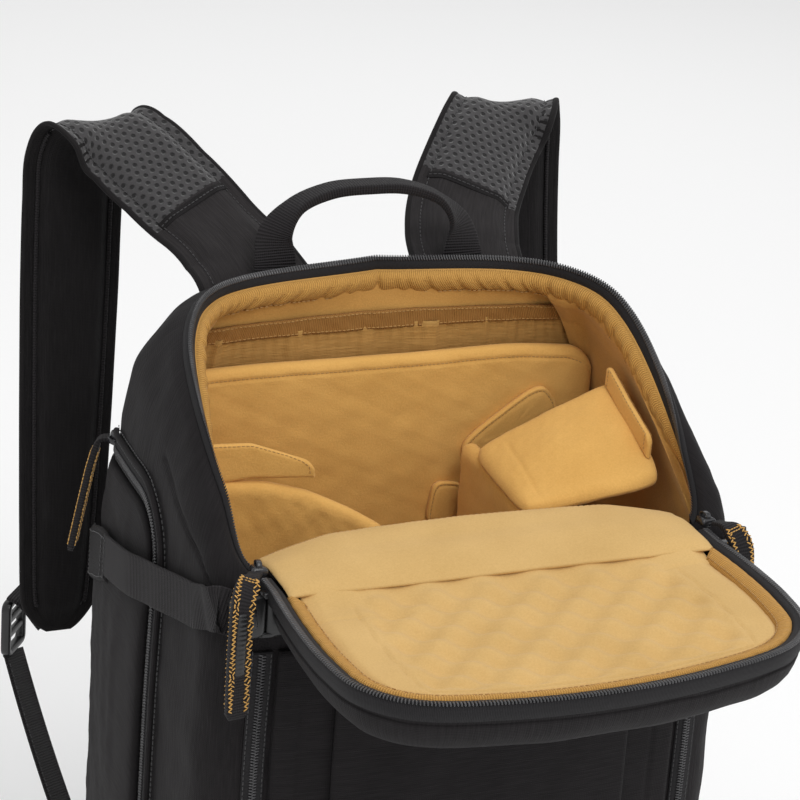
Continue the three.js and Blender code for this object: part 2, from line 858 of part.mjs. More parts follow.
// Carry handle: webbing that rises from between the wall and the straps' roots, turns on edge
// and arches over.
function carryHandle() {
  const rise = handleHeight - bagHeight;
  const y = handleSeat + webbingThickness / 2;
  const half = [
    { x: handleReach, y, z: handleRoot.z, turn: 0, width: webbingWidth, thick: webbingThickness },
    { x: handleReach, y, z: bagHeight - 2, turn: 0, width: webbingWidth, thick: webbingThickness },
    { x: handleReach - 1, y: y + 5, z: bagHeight + 0.4 * rise, turn: 35, width: 20, thick: 3.5 },
    { x: handleReach - 13, y: y + 9, z: bagHeight + 0.76 * rise, turn: 80, width: 16, thick: 5 },
    { x: handleReach - 34, y: y + 11, z: bagHeight + 0.96 * rise, turn: 90, width: 15, thick: 6 },
    { x: 0, y: y + 11, z: handleHeight, turn: 90, width: 15, thick: 6 },
  ];
  const otherHalf = half.slice(0, -1).reverse();
  const full = [...half, ...otherHalf.map((s) => ({ ...s, x: -s.x, turn: 180 - s.turn }))];
  const middles = full.map((s) => vector(s.x, s.y, s.z));
  const last = full.length - 1;
  const stop = (share) => full[Math.round(share * last)];
  const across = (share) => {
    const turn = THREE.MathUtils.degToRad(stop(share).turn);
    return vector(Math.cos(turn), Math.sin(turn), 0);
  };
  const stations = stationsAlong(
    middles,
    across,
    (share) => stop(share).width,
    (share) => stop(share).thick,
  );
  return sweepSolid(stations, flatSection);
}

add("carry_handle", carryHandle(), "webbing");

// Lid: a shallow tray that lies open in front of the bag, level with the hinge.

// Half of the tray's outline from its rear corner to the middle of its front, as shares of
// half the lid's width and of its length.
const lidTable = [
  { x: 0.98, y: hingeStrip / lidLength },
  { x: 1, y: 0.36 },
  { x: 0.995, y: 0.58 },
  { x: 0.95, y: 0.76 },
  { x: 0.8, y: 0.89 },
  { x: 0.45, y: 0.97 },
  { x: 0, y: 1 },
];
const lidHalf = lidTable.map((row) =>
  vector((row.x * lidWidth) / 2, lidHinge.y - row.y * lidLength, lidHinge.z),
);
const lidCurve = new THREE.CatmullRomCurve3([
  ...lidHalf,
  ...lidHalf.slice(0, -1).reverse().map((p) => mirrored(p, -1)),
]);
const trayRear = lidHalf[0].y;

// A point of the outline, moved in from it and down from the hinge's height. The lid lies
// slightly askew: its front edge comes back a little on the right.
function lidPoint(share, inset, drop) {
  const along = lidCurve.getTangent(share);
  const inward = vector(-along.y, along.x, 0);
  if (inward.dot(vector(0, lidHinge.y - lidLength / 2, 0).sub(lidCurve.getPoint(share))) < 0) {
    inward.negate();
  }
  const point = lidCurve.getPoint(share).addScaledVector(inward, inset);
  point.y = Math.min(point.y, trayRear - inset);
  point.y += lidSkew * point.x * ((trayRear - point.y) / lidLength);
  point.z -= drop;
  return point;
}

const lidSteps = 26;
const rearSteps = 5;

function lidRing(inset, drop) {
  const ring = [];
  for (let i = 0; i <= lidSteps; i += 1) {
    ring.push(lidPoint(i / lidSteps, inset, drop));
  }
  const end = ring[lidSteps];
  for (let i = 1; i < rearSteps; i += 1) {
    ring.push(end.clone().lerp(ring[0], i / rearSteps));
  }
  return ring;
}

// The tray's wall from its zipper down to its flat bottom: drop is a share of the lid's depth.
const trayTable = [
  { drop: 0, inset: 0 },
  { drop: 0.35, inset: -0.5 },
  { drop: 0.75, inset: 5 },
  { drop: 1, inset: 16 },
];

function lidTray() {
  const outer = trayTable.map((row) => lidRing(row.inset, row.drop * lidDepth));
  const inside = [
    lidRing(lidWall, 0),
    lidRing(lidWall - 0.5, 0.35 * lidDepth),
    lidRing(lidWall + 5, 0.75 * lidDepth - 1),
    lidRing(lidWall + 15, lidDepth - lidWall),
  ];
  return ringSolid([...outer.reverse(), ...inside]);
}

add("lid_shell", lidTray(), "fabric");

// A strip along the lid's edge from one end of the hinge round to the other.
function lidBand(insetNear, insetFar, low, high, withEnds) {
  const rings = [];
  const ring = (at) =>
    rectangle(insetNear, insetFar, low, high).map(([inset, rise]) => at(inset, rise));
  const hingeEnd = (sign) => ring((inset, rise) => {
    const corner = lidPoint(0, inset, -rise);
    return vector(sign * corner.x, lidHinge.y - 5, corner.z);
  });
  if (withEnds) {
    rings.push(hingeEnd(1));
  }
  const first = withEnds ? 1 : 0;
  for (let i = first; i <= lidSteps - first; i += 1) {
    rings.push(ring((inset, rise) => lidPoint(i / lidSteps, inset, -rise)));
  }
  if (withEnds) {
    rings.push(hingeEnd(-1));
  }
  return ringSolid(rings);
}

const bindingInset = 5;
const padInset = bindingInset + bindingThickness + 1.6;
add("lid_zipper", lidBand(-1, 4, rimGap, rimGap + zipperHeight, true), "zipper");
add("lid_binding", lidBand(bindingInset, bindingInset + bindingThickness, -5, 2.2, false), "binding");

// A grid over the tray from side to side and from rear to front, its edges on the outline.
const cornerShare = 0.3;

function lidGrid(acrossSteps, alongSteps, inset, zAt) {
  const right = (v) => lidPoint(cornerShare * v, inset, 0);
  const left = (v) => lidPoint(1 - cornerShare * v, inset, 0);
  const front = (u) => lidPoint(THREE.MathUtils.lerp(cornerShare, 1 - cornerShare, u), inset, 0);
  const rear = (u) => right(0).lerp(left(0), u);
  const lines = [];
  for (let j = 0; j <= alongSteps; j += 1) {
    const v = j / alongSteps;
    const line = [];
    for (let i = 0; i <= acrossSteps; i += 1) {
      const u = i / acrossSteps;
      const point = rear(u).multiplyScalar(1 - v).addScaledVector(front(u), v);
      point.addScaledVector(right(v), 1 - u).addScaledVector(left(v), u);
      point.addScaledVector(right(0), -(1 - u) * (1 - v)).addScaledVector(left(0), -u * (1 - v));
      point.addScaledVector(right(1), -(1 - u) * v).addScaledVector(left(1), -u * v);
      point.z = lidHinge.z + zAt(i, j);
      line.push(point);
    }
    lines.push(line);
  }
  return lines;
}

function lidPad() {
  const across = 20;
  const along = 12;
  const top = lidGrid(across, along, padInset, (i, j) => {
    const border = i === 0 || j === 0 || i === across || j === along;
    const bump = (i + j) % 2 === 0 ? padBump : 0;
    return border ? -2 : bump;
  });
  const slope = 14;
  const bottom = lidGrid(across, along, padInset + slope, () => lidWall + layerGap - lidDepth);
  return slabSolid(bottom, top);
}

add("lid_pad", lidPad(), "pad");

// Hinge: a fabric strip from the front wall's edge to the tray, and the lining over it.

const hingeGap = 0.9;
const hingeThickness = 2;
const hingeLiningPad = 3.5;
const hingeReach = frontColumns - 0.45;

// Both layers follow the front wall's edge; each line runs from the tray to the bag.
function hingeSlab(columns, profile) {
  const lines = columns.map((column) => {
    const edge = rimPoint(Math.abs(column));
    edge.x *= Math.sign(column);
    return profile(edge);
  });
  return slabSolid(
    lines.map((line) => line.map((pair) => pair[0])),
    lines.map((line) => line.map((pair) => pair[1])),
  );
}

function hingeLayer(low, thickness, trayOverlap, downInside) {
  return (edge) => {
    const rise = (y, z) => [vector(edge.x, y, z + low), vector(edge.x, y, z + low + thickness)];
    const start = trayRear - trayOverlap;
    const line = [
      rise(start, lidHinge.z),
      rise(trayRear, lidHinge.z),
      rise((trayRear + edge.y) / 2, (lidHinge.z + edge.z) / 2 + 0.5),
      rise(edge.y, edge.z),
    ];
    if (downInside) {
      const inner = edge.y + liningInside + 2;
      line.push([vector(edge.x, inner, edge.z + low - 2), vector(edge.x, inner + 2.5, edge.z + low)]);
      const foot = edge.z - bindingWidth - 8;
      line.push([vector(edge.x, inner + 1, foot), vector(edge.x, inner + 1 + thickness, foot)]);
    }
    return line;
  };
}

const hingeColumns = evenSteps(-hingeReach, hingeReach, 10);
add("lid_hinge", hingeSlab(hingeColumns, hingeLayer(hingeGap, hingeThickness, 2, false)), "fabric");
const overHinge = hingeGap + hingeThickness + layerGap;
add(
  "hinge_lining",
  hingeSlab(hingeColumns, hingeLayer(overHinge, hingeLiningPad, 4, true)),
  "lining",
);

// Sliders and their webbing pulls

const sliderSize = { across: 9, along: 9, tall: 5.5 };
const pullThickness = 4.5;

function pull(points, across) {
  const curve = new THREE.CatmullRomCurve3(points);
  const stations = stationsAlong(
    curve.getPoints(7),
    () => across.clone(),
    () => pullWidth,
    () => pullThickness,
  );
  return sweepSolid(stations, flatSection);
}

const mainSlider = vector(
  0.83 * halfWidth + 1,
  lidHinge.y - 1.5,
  lidHinge.z + rimGap + zipperHeight + seatGap + sliderSize.tall / 2,
);

// Each pull hangs from its slider in front of the corner.
const mainPulls = {
  left: {
    across: vector(1, 0.15, 0),
    points: [
      vector(-3.5, -6, 1),
      vector(-10.5, -16, 2),
      vector(-16.5, -25, -5),
      vector(-18, -27, -24),
      vector(-18, -27.5, -pullLength - 2),
    ],
  },
  right: {
    across: vector(1, -0.15, 0),
    points: [
      vector(3.5, -6, 1),
      vector(6.5, -16, 2),
      vector(9.5, -25, -5),
      vector(10.5, -27, -24),
      vector(10.5, -27.5, -pullLength - 2),
    ],
  },
};
const sideSliderColumn = doorEnd + 0.75;
const sidePullPoints = [
  vector(3.6, 3.6, 0),
  vector(8, 5, -1),
  vector(11.5, 6, -12),
  vector(15, 7, -30),
  vector(22, 8, -pullLength - 2),
];

for (const { name, sign } of sides) {
  const slider = box(sliderSize.across, sliderSize.along, sliderSize.tall);
  slider.translate(sign * mainSlider.x, mainSlider.y, mainSlider.z);
  add("zipper_slider_" + name, slider, "plastic");
  const main = mainPulls[name];
  const origin = mirrored(mainSlider, sign);
  const points = main.points.map((p) => p.clone().add(origin));
  add("zipper_pull_" + name, pull(points, main.across), "webbing");

  const seat = onWall(sideSliderColumn, rowAtHeight(sideSliderColumn, sideZipperTop), layerGap + 3);
  const sideSlider = box(sliderSize.tall, sliderSize.along, sliderSize.across);
  sideSlider.rotateZ(Math.PI / 4.5);
  sideSlider.translate(seat.x, seat.y, seat.z);
  add("side_slider_" + name, mirror(sideSlider, sign), "plastic");
  const sidePull = pull(sidePullPoints.map((p) => p.clone().add(seat)), vector(-0.45, 0.9, 0));
  add("side_pull_" + name, mirror(sidePull, sign), "webbing");
}

// Compression strap at the top of each side: a sewn tab, webbing round the front corner and a
// side-release buckle fastened on the front.

const overDoor = layerGap + doorPad + layerGap + webbingThickness / 2;
const strapBack = halfDepth - 50;
const tabBack = halfDepth - 6;
const strapRise = { back: lidHinge.z - 44, front: lidHinge.z - 13 };
const buckle = { tall: 24, thick: 8, socket: 19, plug: 17, y: -halfDepth - 5.6, x: halfWidth - 6 };

const bandStops = [
  { y: strapBack, out: overDoor + 0.4 },
  { y: 24, out: overDoor + 0.4 },
  { y: 4, out: overDoor },
  { y: -12, out: 8.5 },
  { y: -30, out: 6.5 },
  { y: -50, out: 3.6 },
];
const cornerStops = [
  { column: sideStart, out: 2.4 },
  { column: sideStart - 1, out: 3.2 },
  { column: sideStart - 1.6, out: 8.5 },
  { column: sideStart - 2.1, out: 13.5 },
];

function sideWebbing() {
  const stops = [
    ...bandStops.map((stop) => ({ column: columnAtSideY(stop.y), out: stop.out })),
    ...cornerStops,
  ];
  const first = stops[0].column;
  const last = stops[stops.length - 1].column;
  const route = stops.map((stop) => {
    const share = (first - stop.column) / (first - last);
    return { ...stop, height: THREE.MathUtils.lerp(strapRise.back, strapRise.front, share) };
  });
  return wallBand(route, webbingWidth, webbingThickness, flatSection);
}

function sideTab() {
  const route = [tabBack, (tabBack + strapBack) / 2, strapBack + 1].map((y, i) => ({
    column: columnAtSideY(y),
    height: strapRise.back - 16 + 7 * i,
    out: overDoor + 0.4,
  }));
  return wallBand(route, webbingWidth + 9, webbingThickness, flatSection);
}

// A flat plate with the given outline in x and z.
function plateOf(points, thick) {
  const shape = new THREE.Shape(points.map(([x, y]) => new THREE.Vector2(x, y)));
  const geometry = new THREE.ExtrudeGeometry(shape, { depth: thick, bevelEnabled: false });
  geometry.rotateX(Math.PI / 2);
  geometry.translate(0, thick / 2, 0);
  return BufferGeometryUtils.mergeVertices(bare(geometry));
}

function buckleSocket() {
  const h = buckle.tall / 2;
  const l = buckle.socket;
  const geometry = plateOf(
    [
      [0, -h + 2],
      [2, -h],
      [l * 0.45, -h],
      [l * 0.6, -h + 4],
      [l * 0.85, -h + 4],
      [l, -h + 1.5],
      [l, h - 1.5],
      [l * 0.85, h - 4],
      [l * 0.6, h - 4],
      [l * 0.45, h],
      [2, h],
      [0, h - 2],
    ],
    buckle.thick,
  );
  geometry.rotateY(Math.PI);
  geometry.translate(buckle.x, buckle.y, strapRise.front);
  return geometry;
}

function bucklePlug() {
  const h = buckle.tall / 2;
  const l = buckle.plug;
  const geometry = plateOf(
    [
      [0, -h + 1.5],
      [3, -h],
      [l - 3, -h + 1],
      [l, -h + 4],
      [l, h - 4],
      [l - 3, h - 1],
      [3, h],
      [0, h - 1.5],
    ],
    buckle.thick - 1,
  );
  geometry.rotateY(Math.PI);
  geometry.translate(buckle.x - buckle.socket - 0.4, buckle.y, strapRise.front);
  return geometry;
}

function buckleAnchor() {
  const end = buckle.x - buckle.socket - buckle.plug - 0.4;
  const stops = [
    { x: end - 1.6, out: 7 },
    { x: end - 5, out: 4.2 },
    { x: end - 14, out: layerGap + webbingThickness / 2 },
    { x: end - 20, out: layerGap + webbingThickness / 2 },
  ];
  const height = strapRise.front - 1;
  const route = stops.map(({ x, out }) => ({ column: columnAtFrontX(x), height, out }));
  return wallBand(route, webbingWidth - 4, webbingThickness, flatSection);
}

for (const { name, sign } of sides) {
  add("side_tab_" + name, mirror(sideTab(), sign), "fabric");
  add("side_webbing_" + name, mirror(sideWebbing(), sign), "webbing");
  add("buckle_socket_" + name, mirror(buckleSocket(), sign), "plastic");
  add("buckle_plug_" + name, mirror(bucklePlug(), sign), "plastic");
  add("buckle_anchor_" + name, mirror(buckleAnchor(), sign), "webbing");
}

// Inside: padded dividers that stand on the compartment's floor.

const standGap = 0.5;
const floorLevel = compartmentFloor + standGap;

// Half the compartment's clear width at a place on the side wall.
function clearHalfWidth(y, z) {
  const flat = halfDepth - cornerRadius;
  const column = columnAtSideY(THREE.MathUtils.clamp(y, -flat, flat));
  return onWall(column, rowAtHeight(column, z), -liningInside).x;
}

// A padded wall along a plan route, with the height of its top edge at each stop.
function standingPanel(stops, pad, bottom) {
  const rows = [0, 0.5, 0.8, 0.94, 1];
  const swell = [0.8, 1, 1, 0.9, 0.45];
  const side = (sign) =>
    rows.map((share, r) =>
      stops.map((stop, i) => {
        const before = stops[Math.max(i - 1, 0)];
        const after = stops[Math.min(i + 1, stops.length - 1)];
        const along = vector(after.x - before.x, after.y - before.y, 0).normalize();
        const out = vector(along.y, -along.x, 0).multiplyScalar((sign * pad * swell[r]) / 2);
        const low = stop.bottom ?? bottom;
        const lean = (stop.lean ?? 0) * share;
        return vector(stop.x + lean, stop.y, THREE.MathUtils.lerp(low, stop.top, share)).add(out);
      }),
    );
  return slabSolid(side(-1), side(1));
}

function tallDivider() {
  const rows = [0, 0.35, 0.7, 0.88, 0.96, 1];
  const swell = [0.8, 1, 1, 1, 0.85, 0.4];
  const steps = 8;
  const side = (sign) =>
    rows.map((share, r) => {
      const z = THREE.MathUtils.lerp(floorLevel, tallDividerTop, share);
      const rounded = r === rows.length - 1 ? 16 : r === rows.length - 2 ? 4 : 0;
      const reach = clearHalfWidth(tallDividerY, z) - 3 - rounded;
      return Array.from({ length: steps + 1 }, (_, i) =>
        vector(
          THREE.MathUtils.lerp(-reach, reach, i / steps),
          tallDividerY + (sign * dividerPad * swell[r]) / 2,
          z,
        ),
      );
    });
  return slabSolid(side(-1), side(1));
}

add("tall_divider", tallDivider(), "lining");

// Stops of the left divider: x and y as shares of half the bag's width and depth, and the rise
// of its top edge above the hinge.
const leftTable = [
  { x: -0.91, y: 0.09, rise: 7 },
  { x: -0.65, y: 0.09, rise: 11 },
  { x: -0.4, y: 0.06, rise: 9 },
  { x: -0.31, y: 0.03, rise: 2 },
  { x: -0.22, y: -0.01, rise: -9 },
  { x: -0.13, y: -0.08, rise: -22 },
];
const leftStops = leftTable.map((row) => ({
  x: Math.max(row.x * halfWidth, 2.5 - clearHalfWidth(0, compartmentFloor + 100)),
  y: row.y * halfDepth,
  top: lidHinge.z + row.rise,
}));
add("left_divider", standingPanel(leftStops, dividerPad, floorLevel), "lining");

const tabPad = 4;
const tabRise = [27, 21, 9];
const tabStops = tabRise.map((rise, i) => {
  const stop = leftStops[i];
  const x = Math.max(stop.x, leftStops[0].x + tabPad);
  return { ...stop, x, bottom: stop.top + standGap, top: stop.top + rise };
});
add("left_divider_tab", standingPanel(tabStops, tabPad, floorLevel), "lining");

// The right divider: an upright wall under a folded top that slopes towards the front.
const flap = {
  left: 0.275 * halfWidth,
  right: 0.837 * halfWidth,
  back: 0.292 * halfDepth,
  front: -0.458 * halfDepth,
  backZ: lidHinge.z + 4,
  frontZ: lidHinge.z - 2,
  tilt: 0.43,
};
const flapPad = 9;
const flapHeight = (x, y) =>
  THREE.MathUtils.mapLinear(y, flap.front, flap.back, flap.frontZ, flap.backZ) +
  (x - flap.left) * flap.tilt * THREE.MathUtils.mapLinear(y, flap.front, flap.back, 0.3, 1);

// A point of the flap's top (side 1) or underside (-1); u and v are shares across and back.
function flapPoint(u, v, side) {
  const x = THREE.MathUtils.lerp(flap.left, flap.right - 2 * (1 - v), u);
  const y = THREE.MathUtils.lerp(flap.front, flap.back, v);
  const rim = Math.min(1, 5 * Math.min(u, 1 - u, v, 1 - v)) ** 0.5;
  const crown = 5 * Math.sin(Math.PI * u) * Math.sin(Math.PI * v);
  const half = (flapPad / 2) * (0.35 + 0.65 * rim);
  return vector(x, y, flapHeight(x, y) + crown + side * half);
}

function rightFlap() {
  const steps = 6;
  const layer = (side) =>
    evenSteps(0, 1, steps).map((v) => evenSteps(0, 1, steps).map((u) => flapPoint(u, v, side)));
  return slabSolid(layer(-1), layer(1));
}

add("right_divider_flap", rightFlap(), "lining");

const wallShare = (dividerPad / 2 + 1) / (flap.right - flap.left);
const rightStops = [1.28, 0.94, 0.5, 0.08].map((v) => ({
  x: flap.left + dividerPad / 2 + 1,
  y: THREE.MathUtils.lerp(flap.front, flap.back, v),
  top: flapPoint(wallShare, Math.min(v, 0.94), -1).z - standGap / 2,
}));
add("right_divider", standingPanel(rightStops, dividerPad, floorLevel), "lining");

const hookRise = 14;
const hookStops = [0.17, 0.5, 0.94].map((v) => {
  const seat = flapPoint(0.93, v, 1);
  return { x: seat.x, y: seat.y, bottom: seat.z + 2 * standGap, top: seat.z + hookRise, lean: -3 };
});
add("right_divider_hook", standingPanel(hookStops, tabPad, floorLevel), "lining");

// Tabs that hold the dividers on the tall divider's face.
function faceTab(width, height, x, z, turn) {
  const r = Math.min(width, height) * 0.4;
  const w = width / 2;
  const h = height / 2;
  const shape = new THREE.Shape();
  shape.moveTo(-w + r, -h);
  shape.lineTo(w - r, -h);
  shape.absarc(w - r, -h + r, r, -Math.PI / 2, 0, false);
  shape.lineTo(w, h - r);
  shape.absarc(w - r, h - r, r, 0, Math.PI / 2, false);
  shape.lineTo(-w + r, h);
  shape.absarc(-w + r, h - r, r, Math.PI / 2, Math.PI, false);
  shape.lineTo(-w, -h + r);
  shape.absarc(-w + r, -h + r, r, Math.PI, 1.5 * Math.PI, false);
  const options = { depth: tabPad, bevelEnabled: false, curveSegments: 4 };
  const geometry = BufferGeometryUtils.mergeVertices(bare(new THREE.ExtrudeGeometry(shape, options)));
  geometry.rotateZ(turn);
  geometry.rotateX(Math.PI / 2);
  geometry.translate(x, tallDividerY - dividerPad / 2 - layerGap, z);
  return geometry;
}

add("right_divider_tab", faceTab(62, 25, 0.523 * halfWidth, lidHinge.z + 3, 0.62), "lining");
add("small_tab", faceTab(20, 27, 0.28 * halfWidth, lidHinge.z - 41, -0.12), "lining");

// Pocket on the compartment's back wall, gathered by an elastic band along its top.
const pocketTop = bagHeight - 35;
const pocketHalf = halfWidth - 36;
const pocketWall = 2.5;

function backPocket() {
  const steps = 14;
  const out = -(liningInside + layerGap);
  const first = columnAtBackX(pocketHalf);
  const columns = evenSteps(first, 2 * lastColumn - first, steps);
  const heights = [0, 0.45, 0.78, 1].map((share) =>
    THREE.MathUtils.lerp(floorLevel + 4, pocketTop, share),
  );
  const layer = (thickness) =>
    heights.map((z, r) =>
      columns.map((column, i) => {
        const gather = (i % 2) * 1.6 * (r / (heights.length - 1));
        return onWall(column, rowAtHeight(column, z), out - gather - thickness);
      }),
    );
  return slabSolid(layer(0), layer(pocketWall));
}

function pocketElastic() {
  const first = columnAtBackX(pocketHalf);
  const columns = evenSteps(first, 2 * lastColumn - first, 8);
  const out = -(liningInside + layerGap + pocketWall / 2);
  const route = columns.map((column) => ({ column, height: pocketTop + 4.6, out }));
  return wallBand(route, 7, pocketWall, flatSection);
}

add("back_pocket", backPocket(), "lining");
add("pocket_elastic", pocketElastic(), "binding");

export default group;
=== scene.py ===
"""Looks of the camera backpack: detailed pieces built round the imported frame.

Points are worked out in millimetres, in the frame's own axes, and turned into metres when a
mesh is made.
"""
import math

import bmesh
import bpy
import numpy as np
from mathutils import Matrix, Vector


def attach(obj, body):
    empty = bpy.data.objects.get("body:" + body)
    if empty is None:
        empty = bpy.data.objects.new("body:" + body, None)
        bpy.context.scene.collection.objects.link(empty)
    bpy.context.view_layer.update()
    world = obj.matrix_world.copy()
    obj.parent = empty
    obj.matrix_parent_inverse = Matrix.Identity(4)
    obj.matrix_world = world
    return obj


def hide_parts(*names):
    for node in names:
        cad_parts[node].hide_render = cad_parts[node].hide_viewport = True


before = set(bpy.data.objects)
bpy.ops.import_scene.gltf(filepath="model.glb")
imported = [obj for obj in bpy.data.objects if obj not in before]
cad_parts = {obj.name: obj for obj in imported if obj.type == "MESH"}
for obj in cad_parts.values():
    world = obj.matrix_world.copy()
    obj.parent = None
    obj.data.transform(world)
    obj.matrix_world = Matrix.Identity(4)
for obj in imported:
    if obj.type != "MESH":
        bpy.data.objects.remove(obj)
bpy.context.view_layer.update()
scene = bpy.context.scene
MM = 0.001


# Camera and light. The camera stands where the photo was taken from, as the object's own
# edges and angles give it: angles in degrees, its place in metres, and its lens for a
# 36 mm wide sensor.

CAMERA_TURN, CAMERA_TILT, CAMERA_ROLL = 24, 22, 4.4
CAMERA_PLACE = (-0.5978, -1.3044, 0.9799)
CAMERA_LENS = 128.25


def camera_at_photo():
    turn, tilt, roll = (math.radians(a) for a in (CAMERA_TURN, CAMERA_TILT, CAMERA_ROLL))
    right = np.array([math.cos(turn), -math.sin(turn), 0])
    back = np.array([-math.sin(turn) * math.cos(tilt), -math.cos(turn) * math.cos(tilt), math.sin(tilt)])
    up = np.cross(back, right)
    x = math.cos(roll) * right + math.sin(roll) * up
    y = -math.sin(roll) * right + math.cos(roll) * up
    data = bpy.data.cameras.new("camera")
    data.lens = CAMERA_LENS
    data.sensor_width = 36
    data.clip_end = 30
    camera = bpy.data.objects.new("camera", data)
    scene.collection.objects.link(camera)
    place = np.eye(4)
    place[:3, 0], place[:3, 1], place[:3, 2] = x, y, back
    place[:3, 3] = CAMERA_PLACE
    camera.matrix_world = Matrix(place.tolist())
    scene.camera = camera


camera_at_photo()


def area_light(name, place, target, size, power, colour=(1, 1, 1)):
    data = bpy.data.lights.new(name, "AREA")
    data.shape = "DISK"
    data.size = size
    data.energy = power
    data.color = colour
    lamp = bpy.data.objects.new(name, data)
    scene.collection.objects.link(lamp)
    lamp.location = place
    lamp.rotation_euler = (Vector(target) - Vector(place)).to_track_quat("-Z", "Y").to_euler()


MIDDLE = (0, 0, 0.3)
area_light("key", (-0.1, -1.9, 2.3), MIDDLE, 1.2, 19)
area_light("fill", (1.7, -1.4, 1.3), MIDDLE, 1.6, 6)
area_light("top", (0.1, -0.3, 2.5), MIDDLE, 1.2, 9)
area_light("rim", (-1.7, 1.3, 1.4), MIDDLE, 1.1, 2)
area_light("back", (1.0, 2.0, 1.6), MIDDLE, 1.4, 5)

world = bpy.data.worlds.new("studio")
scene.world = world
world.use_nodes = True
world.node_tree.nodes["Background"].inputs["Color"].default_value = (1, 1, 1, 1)
world.node_tree.nodes["Background"].inputs["Strength"].default_value = 0.7
scene.view_settings.view_transform = "Standard"


# Materials

class Nodes:
    """A material's nodes, made and joined in few words."""

    def __init__(self, name, roughness, colour=None, **sockets):
        self.material = bpy.data.materials.new(name)
        self.material.use_nodes = True
        self.tree = self.material.node_tree
        self.shader = self.tree.nodes["Principled BSDF"]
        self.set(self.shader, Roughness=roughness, **sockets)
        if colour:
            self.set(self.shader, **{"Base Color": (*colour, 1)})

    def set(self, node, **values):
        for key, value in values.items():
            socket = node.inputs[key.replace("_", " ")]
            if isinstance(value, bpy.types.NodeSocket):
                self.tree.links.new(value, socket)
            else:
                socket.default_value = value

    def add(self, kind, output=0, props=(), **values):
        node = self.tree.nodes.new("ShaderNode" + kind)
        for key, value in dict(props).items():
            setattr(node, key, value)
        self.set(node, **values)
        return node.outputs[output]

    def math(self, operation, a, b=0.0):
        node = self.tree.nodes.new("ShaderNodeMath")
        node.operation = operation
        for socket, value in zip(node.inputs, (a, b)):
            if isinstance(value, bpy.types.NodeSocket):
                self.tree.links.new(value, socket)
            else:
                socket.default_value = value
        return node.outputs[0]

    def uv(self, turn=0.0, stretch=(1, 1, 1)):
        place = self.add("TexCoord", 2)
        return self.add("Mapping", Vector=place, Rotation=(0, 0, turn), Scale=stretch)

    def place(self):
        return self.add("TexCoord", 3)

    def wave(self, vector, pitch, direction="X", distortion=0.0, profile="SIN"):
        # a wave texture repeats every 2 pi / 20 of its scaled vector
        return self.add(
            "TexWave", 1, {"bands_direction": direction, "wave_profile": profile},
            Vector=vector, Scale=0.314159 / pitch, Distortion=distortion,
            Detail=1.0, Detail_Scale=1.0,
        )

    def noise(self, vector, size, detail=3.0, roughness=0.5):
        return self.add("TexNoise", 0, Vector=vector, Scale=1 / size, Detail=detail, Roughness=roughness)

    def mix(self, share, a, b):
        node = self.tree.nodes.new("ShaderNodeMix")
        node.data_type = "RGBA"
        for index, value in ((0, share), (6, a), (7, b)):
            if isinstance(value, bpy.types.NodeSocket):
                self.tree.links.new(value, node.inputs[index])
            elif index:
                node.inputs[index].default_value = (*value, 1)
            else:
                node.inputs[index].default_value = value
        return node.outputs[2]

    def ramp(self, value, low, high):
        return self.add("MapRange", 0, Value=value, From_Min=low, From_Max=high)

    def bump(self, height, depth, strength=1.0, normal=None):
        values = {"Height": height, "Distance": depth, "Strength": strength}
        if normal:
            values["Normal"] = normal
        return self.add("Bump", 0, **values)

    def finish(self, colour, normal):
        self.set(self.shader, **{"Base Color": colour, "Normal": normal})
        return self.material


def ripstop(name, dark, light, pitch=0.0011):
    """Black woven polyester with a broken cross slub and faint fibres."""
    n = Nodes(name, 0.78, Sheen_Weight=0.03, Sheen_Roughness=0.5)
    n.set(n.shader, Specular_IOR_Level=0.16)
    uv = n.uv()
    warp = n.wave(uv, pitch, "X", 0.6)
    weft = n.wave(uv, pitch, "Y", 0.6)
    slub = n.ramp(n.noise(n.uv(0, (60, 900, 1)), 1.0, 2.0), 0.35, 0.75)
    place = n.place()
    cloud = n.noise(place, 0.035, 3.0)
    weave = n.math("MULTIPLY", n.math("ADD", warp, weft), 0.5)
    height = n.math("ADD", weave, n.math("MULTIPLY", slub, 0.9))
    tone = n.math("ADD", n.math("MULTIPLY", slub, 0.45), n.math("MULTIPLY", cloud, 0.5))
    low = n.bump(cloud, 0.0016, 0.35)
    return n.finish(n.mix(tone, dark, light), n.bump(height, 0.00028, 0.6, low))


def tricot(name, dark, light, size=0.0009):
    """Brushed knit lining: short fibres, soft sheen, faint cross grain."""
    n = Nodes(name, 0.92, Sheen_Weight=0.2, Sheen_Roughness=0.45)
    n.set(n.shader, Specular_IOR_Level=0.2, Sheen_Tint=(1, 0.86, 0.62, 1))
    place = n.place()
    fibres = n.noise(place, size, 4.0, 0.65)
    grain = n.noise(n.add("Mapping", Vector=place, Scale=(1, 1, 6)), size * 5, 2.0)
    cloud = n.noise(place, 0.045, 3.0)
    tone = n.math("ADD", n.math("MULTIPLY", fibres, 0.55), n.math("MULTIPLY", cloud, 0.55))
    height = n.math("ADD", fibres, n.math("MULTIPLY", grain, 0.4))
    low = n.bump(cloud, 0.0015, 0.3)
    return n.finish(n.mix(n.ramp(tone, 0.3, 0.8), dark, light), n.bump(height, 0.0004, 0.5, low))


